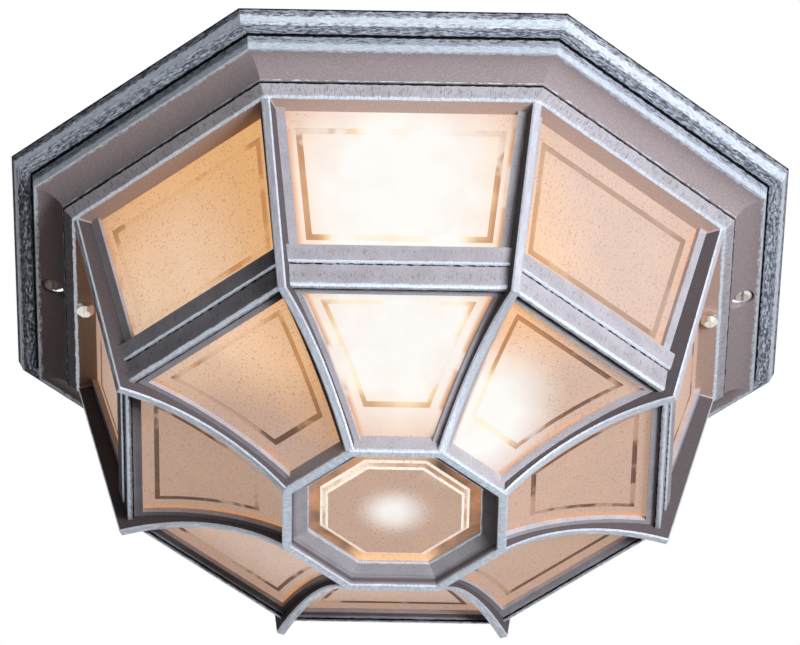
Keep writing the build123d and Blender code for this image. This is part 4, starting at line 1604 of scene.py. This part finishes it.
@dataclass
class LampGear:
    """Pan, brackets, holders and lamps."""

    effects: Effects
    thread_turns: int = 6
    thread_depth: float = 0.0009
    thread_start: float = 0.005
    thread_end: float = 0.003
    neck_depths: float = 2.5
    button_radius: float = 0.0045
    button_face: float = 0.7
    button_rise: float = 0.0017
    button_round: float = 0.4
    lip: float = 0.002
    cap_segments: int = 48
    cap_sharp: float = math.radians(50)
    ring_steps: int = 6

    def build(self) -> None:
        """Dress the gear and build the lamps' threaded caps."""
        zinc = Plate("pan_zinc", (0.72, 0.71, 0.67), (0.52, 0.52, 0.46),
                     smooth=0.3, dull=0.35, fine=260.0)
        dress(zinc.material(self.effects), "mounting_pan", "weld_nuts", "bracket_1", "bracket_2")
        porcelain = Moulded("porcelain", (0.84, 0.83, 0.78), (0.74, 0.72, 0.66),
                            smooth=0.12, dull=0.15, fine=300.0, relief=0.0001, coat=0.4)
        dress(porcelain.material(self.effects), "lampholder_1", "lampholder_2")
        brass = Plate("brass", (0.78, 0.60, 0.28), (0.5, 0.34, 0.13), smooth=0.25, dull=0.3)
        dress(brass.material(self.effects),
              "screw_shell_1", "screw_shell_2", "contact_1", "contact_2")
        rolled = Plate("rolled_cap", (0.75, 0.75, 0.74), (0.5, 0.5, 0.49), smooth=0.25, dull=0.3)
        insulator = Moulded("insulator", (0.02, 0.018, 0.02), (0.05, 0.045, 0.045),
                            smooth=0.15, dull=0.2, fine=500.0)
        finishes = [rolled.material(self.effects), insulator.material(self.effects)]
        for number, body in ((1, Body.LAMP_1), (2, Body.LAMP_2)):
            self._cap(number, body, finishes)
            low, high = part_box(f"lamp_bulb_{number}")
            radius = (high.z - low.z) / 2
            ball_x = low.x + radius if body is Body.LAMP_1 else high.x - radius
            centre = Vector((ball_x, (low.y + high.y) / 2, (low.z + high.z) / 2))
            bulb = LitBulb(f"lit_bulb_{number}", radius)
            dress(bulb.material(self.effects, centre), f"lamp_bulb_{number}")

    def _cap(self, number: int, body: Body, finishes: list[bpy.types.Material]) -> None:
        """Build one lamp's threaded cap in place of the plain one.

        Args:
            number: Number of the lamp.
            body: Body of the lamp.
            finishes: Metal and insulator.
        """
        low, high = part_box(f"lamp_cap_{number}")
        away = -1.0 if body is Body.LAMP_1 else 1.0
        start = high.x if body is Body.LAMP_1 else low.x
        row = (low.y + high.y) / 2
        level = (low.z + high.z) / 2
        radius = (high.z - low.z) / 2
        outline = self._cap_outline(radius, high.x - low.x)
        turns = [2 * math.pi * step / self.cap_segments for step in range(self.cap_segments)]
        mesh = bmesh.new()
        rings = []
        for way, reach, _ in outline:
            place = start + away * way
            points = [(place, row + reach * math.cos(turn), level + reach * math.sin(turn))
                      for turn in turns]
            rings.append([mesh.verts.new(point) for point in points])
        for index in range(len(rings) - 1):
            for step in range(self.cap_segments):
                after = (step + 1) % self.cap_segments
                face = mesh.faces.new([rings[index][step], rings[index][after],
                                       rings[index + 1][after], rings[index + 1][step]])
                face.material_index = outline[index][2].value
        mesh.faces.new(rings[0])
        mesh.faces.new(list(reversed(rings[-1])))
        made = mesh_object(f"lamp_cap_{number}_thread", mesh, finishes, self.cap_sharp)
        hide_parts(f"lamp_cap_{number}")
        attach(made, body.value)
        LOG.info("built %s", made.name)

    def _cap_outline(self, radius: float, length: float) -> list[tuple[float, float, CapFinish]]:
        """Outline of a cap from its contact button to the bulb.

        Args:
            radius: Largest radius of the cap.
            length: Its length.

        Returns:
            Way along the cap, radius and finish for each point.
        """
        metal = CapFinish.METAL
        button, rise = self.button_radius, self.button_rise
        outline = [
            (0.0, button * self.button_face, metal),
            (rise * self.button_round, button, metal),
            (rise, button, CapFinish.INSULATOR),
            (rise * 2, radius - self.thread_depth * self.neck_depths, metal),
        ]
        thread = length - self.thread_start - self.thread_end
        steps = self.thread_turns * self.ring_steps
        for step in range(steps + 1):
            wave = 0.5 - 0.5 * math.cos(2 * math.pi * step / self.ring_steps)
            way = self.thread_start + thread * step / steps
            outline.append((way, radius - self.thread_depth * (1 - wave), metal))
        outline.append((length - self.lip, radius, metal))
        outline.append((length, radius, metal))
        return outline


@dataclass
class Fixings:
    """Screws of the light."""

    effects: Effects

    def build(self) -> None:
        """Dress the screws."""
        nickel = Plate("nickel", (0.86, 0.82, 0.74), (0.62, 0.55, 0.45),
                       smooth=0.22, dull=0.25, fine=1400.0)
        dress(nickel.material(self.effects), "cage_screw_1", "cage_screw_2", "bracket_screws",
              "holder_screws", "retainer_screws")
        enamel = Moulded("screw_enamel", (0.80, 0.77, 0.72), (0.55, 0.50, 0.46),
                         smooth=0.6, dull=0.3, fine=1400.0)
        dress(enamel.material(self.effects), "canopy_screws")
        earth = Moulded("earth_paint", (0.05, 0.38, 0.14), (0.02, 0.2, 0.07),
                        smooth=0.35, dull=0.2, fine=700.0)
        dress(earth.material(self.effects), "earth_screw")


@dataclass(frozen=True)
class StudioLamp:
    """A soft square lamp of the studio, with its width in metres and its power in watts."""

    name: str
    place: Place
    size: float
    power: float
    colour: Colour


@dataclass
class Studio:
    """Camera, lamps, floor and background."""

    aim: Vector = field(default_factory=lambda: Vector((0.0, 0.0, -0.05)))
    azimuth: float = math.radians(0.17)
    elevation: float = math.radians(-39.35)
    roll: float = math.radians(0.82)
    distance: float = 2.934
    view_width: float = 0.27543
    right_offset: float = 0.00115
    up_offset: float = 0.01894
    sensor: float = 36.0
    floor_level: float = -7.5
    floor_size: float = 60.0
    floor_grey: float = 0.85
    far_clip: float = 100.0
    even_light: float = 0.01
    lamps: tuple[StudioLamp, ...] = (
        StudioLamp("key", (0.48, -0.63, -0.40), 0.32, 7.6, (0.96, 0.97, 1.0)),
        StudioLamp("front", (0.30, -2.30, -1.00), 0.7, 5.0, (1.0, 0.96, 0.94)),
        StudioLamp("back", (-0.30, 1.90, -0.22), 0.7, 6.5, (1.0, 0.98, 0.96)),
    )

    def build(self) -> None:
        """Build the studio."""
        self._camera()
        self._world()
        self._floor()
        for lamp in self.lamps:
            self._lamp(lamp)

    def _camera(self) -> None:
        """Place the camera below the light, looking up at it."""
        level = math.cos(self.elevation)
        forward = Vector((math.sin(self.azimuth) * level, math.cos(self.azimuth) * level,
                          -math.sin(self.elevation)))
        right = Vector((math.cos(self.azimuth), -math.sin(self.azimuth), 0.0))
        up = right.cross(forward)
        turned_right = math.cos(self.roll) * right + math.sin(self.roll) * up
        turned_up = -math.sin(self.roll) * right + math.cos(self.roll) * up
        aim = self.aim + turned_right * self.right_offset + turned_up * self.up_offset
        eye = self.aim - forward * self.distance
        back = (eye - aim).normalized()
        side = turned_up.cross(back).normalized()
        upright = back.cross(side)
        data = bpy.data.cameras.new("camera")
        data.sensor_width = self.sensor
        data.lens = self.sensor * self.distance / self.view_width
        data.clip_end = self.far_clip
        camera = bpy.data.objects.new("camera", data)
        camera.matrix_world = Matrix((side, upright, back)).transposed().to_4x4()
        camera.location = eye
        bpy.context.scene.collection.objects.link(camera)
        bpy.context.scene.camera = camera

    def _lamp(self, lamp: StudioLamp) -> None:
        """Add a lamp that faces the light.

        Args:
            lamp: The lamp.
        """
        data = bpy.data.lights.new(lamp.name, "AREA")
        data.size = lamp.size
        data.energy = lamp.power
        data.color = lamp.colour
        made = bpy.data.objects.new(lamp.name, data)
        made.location = lamp.place
        made.rotation_euler = (self.aim - Vector(lamp.place)).to_track_quat("-Z", "Y").to_euler()
        made.visible_camera = False
        bpy.context.scene.collection.objects.link(made)

    @staticmethod
    def _shown(graph: Graph) -> Socket:
        """Find the rays that show the background, directly or in metal and glass.

        Args:
            graph: Graph of the world or of the floor.

        Returns:
            1 for those rays and 0 for others.
        """
        path = graph.node("ShaderNodeLightPath").outputs
        shown = graph.calc("MAXIMUM", path["Is Camera Ray"], path["Is Glossy Ray"])
        return graph.calc("MAXIMUM", shown, path["Is Transmission Ray"])

    def _world(self) -> None:
        """A white background and a weak even light."""
        world = bpy.data.worlds.new("studio")
        bpy.context.scene.world = world
        world.use_nodes = True
        graph = Graph(world.node_tree)
        background = next(n for n in world.node_tree.nodes if n.type == "BACKGROUND")
        background.inputs["Color"].default_value = (1.0, 1.0, 1.0, 1.0)
        shown = graph.times(self._shown(graph), 1.0 - self.even_light)
        strength = graph.plus(self.even_light, shown)
        graph.feed(background.inputs["Strength"], strength)

    def _floor(self) -> None:
        """A pale floor far below."""
        mesh = bmesh.new()
        half = self.floor_size / 2
        corners = ((-half, -half), (half, -half), (half, half), (-half, half))
        mesh.faces.new([mesh.verts.new((x, y, self.floor_level)) for x, y in corners])
        made, graph, shader = new_material("floor")
        shader.inputs["Base Color"].default_value = (*[self.floor_grey] * 3, 1.0)
        set_plain(shader, Roughness=0.9)
        glow = graph.node("ShaderNodeEmission")
        mix = graph.node("ShaderNodeMixShader")
        output = next(n for n in made.node_tree.nodes if n.type == "OUTPUT_MATERIAL")
        graph.feed(mix.inputs[0], self._shown(graph))
        graph.feed(mix.inputs[1], shader.outputs[0])
        graph.feed(mix.inputs[2], glow.outputs[0])
        graph.feed(output.inputs["Surface"], mix.outputs[0])
        floor = mesh_object("floor", mesh, [made])


def main() -> None:
    """Dress the light and set up the studio."""
    logging.basicConfig(level=logging.INFO, format="%(name)s: %(message)s")
    bpy.context.scene.view_settings.view_transform = "Standard"
    plan = Octagon()
    effects = Effects(plan)
    Castings(effects).build()
    Glazing(plan, effects).build()
    LampGear(effects).build()
    Fixings(effects).build()
    Studio().build()


if __name__ == "__main__":
    main()
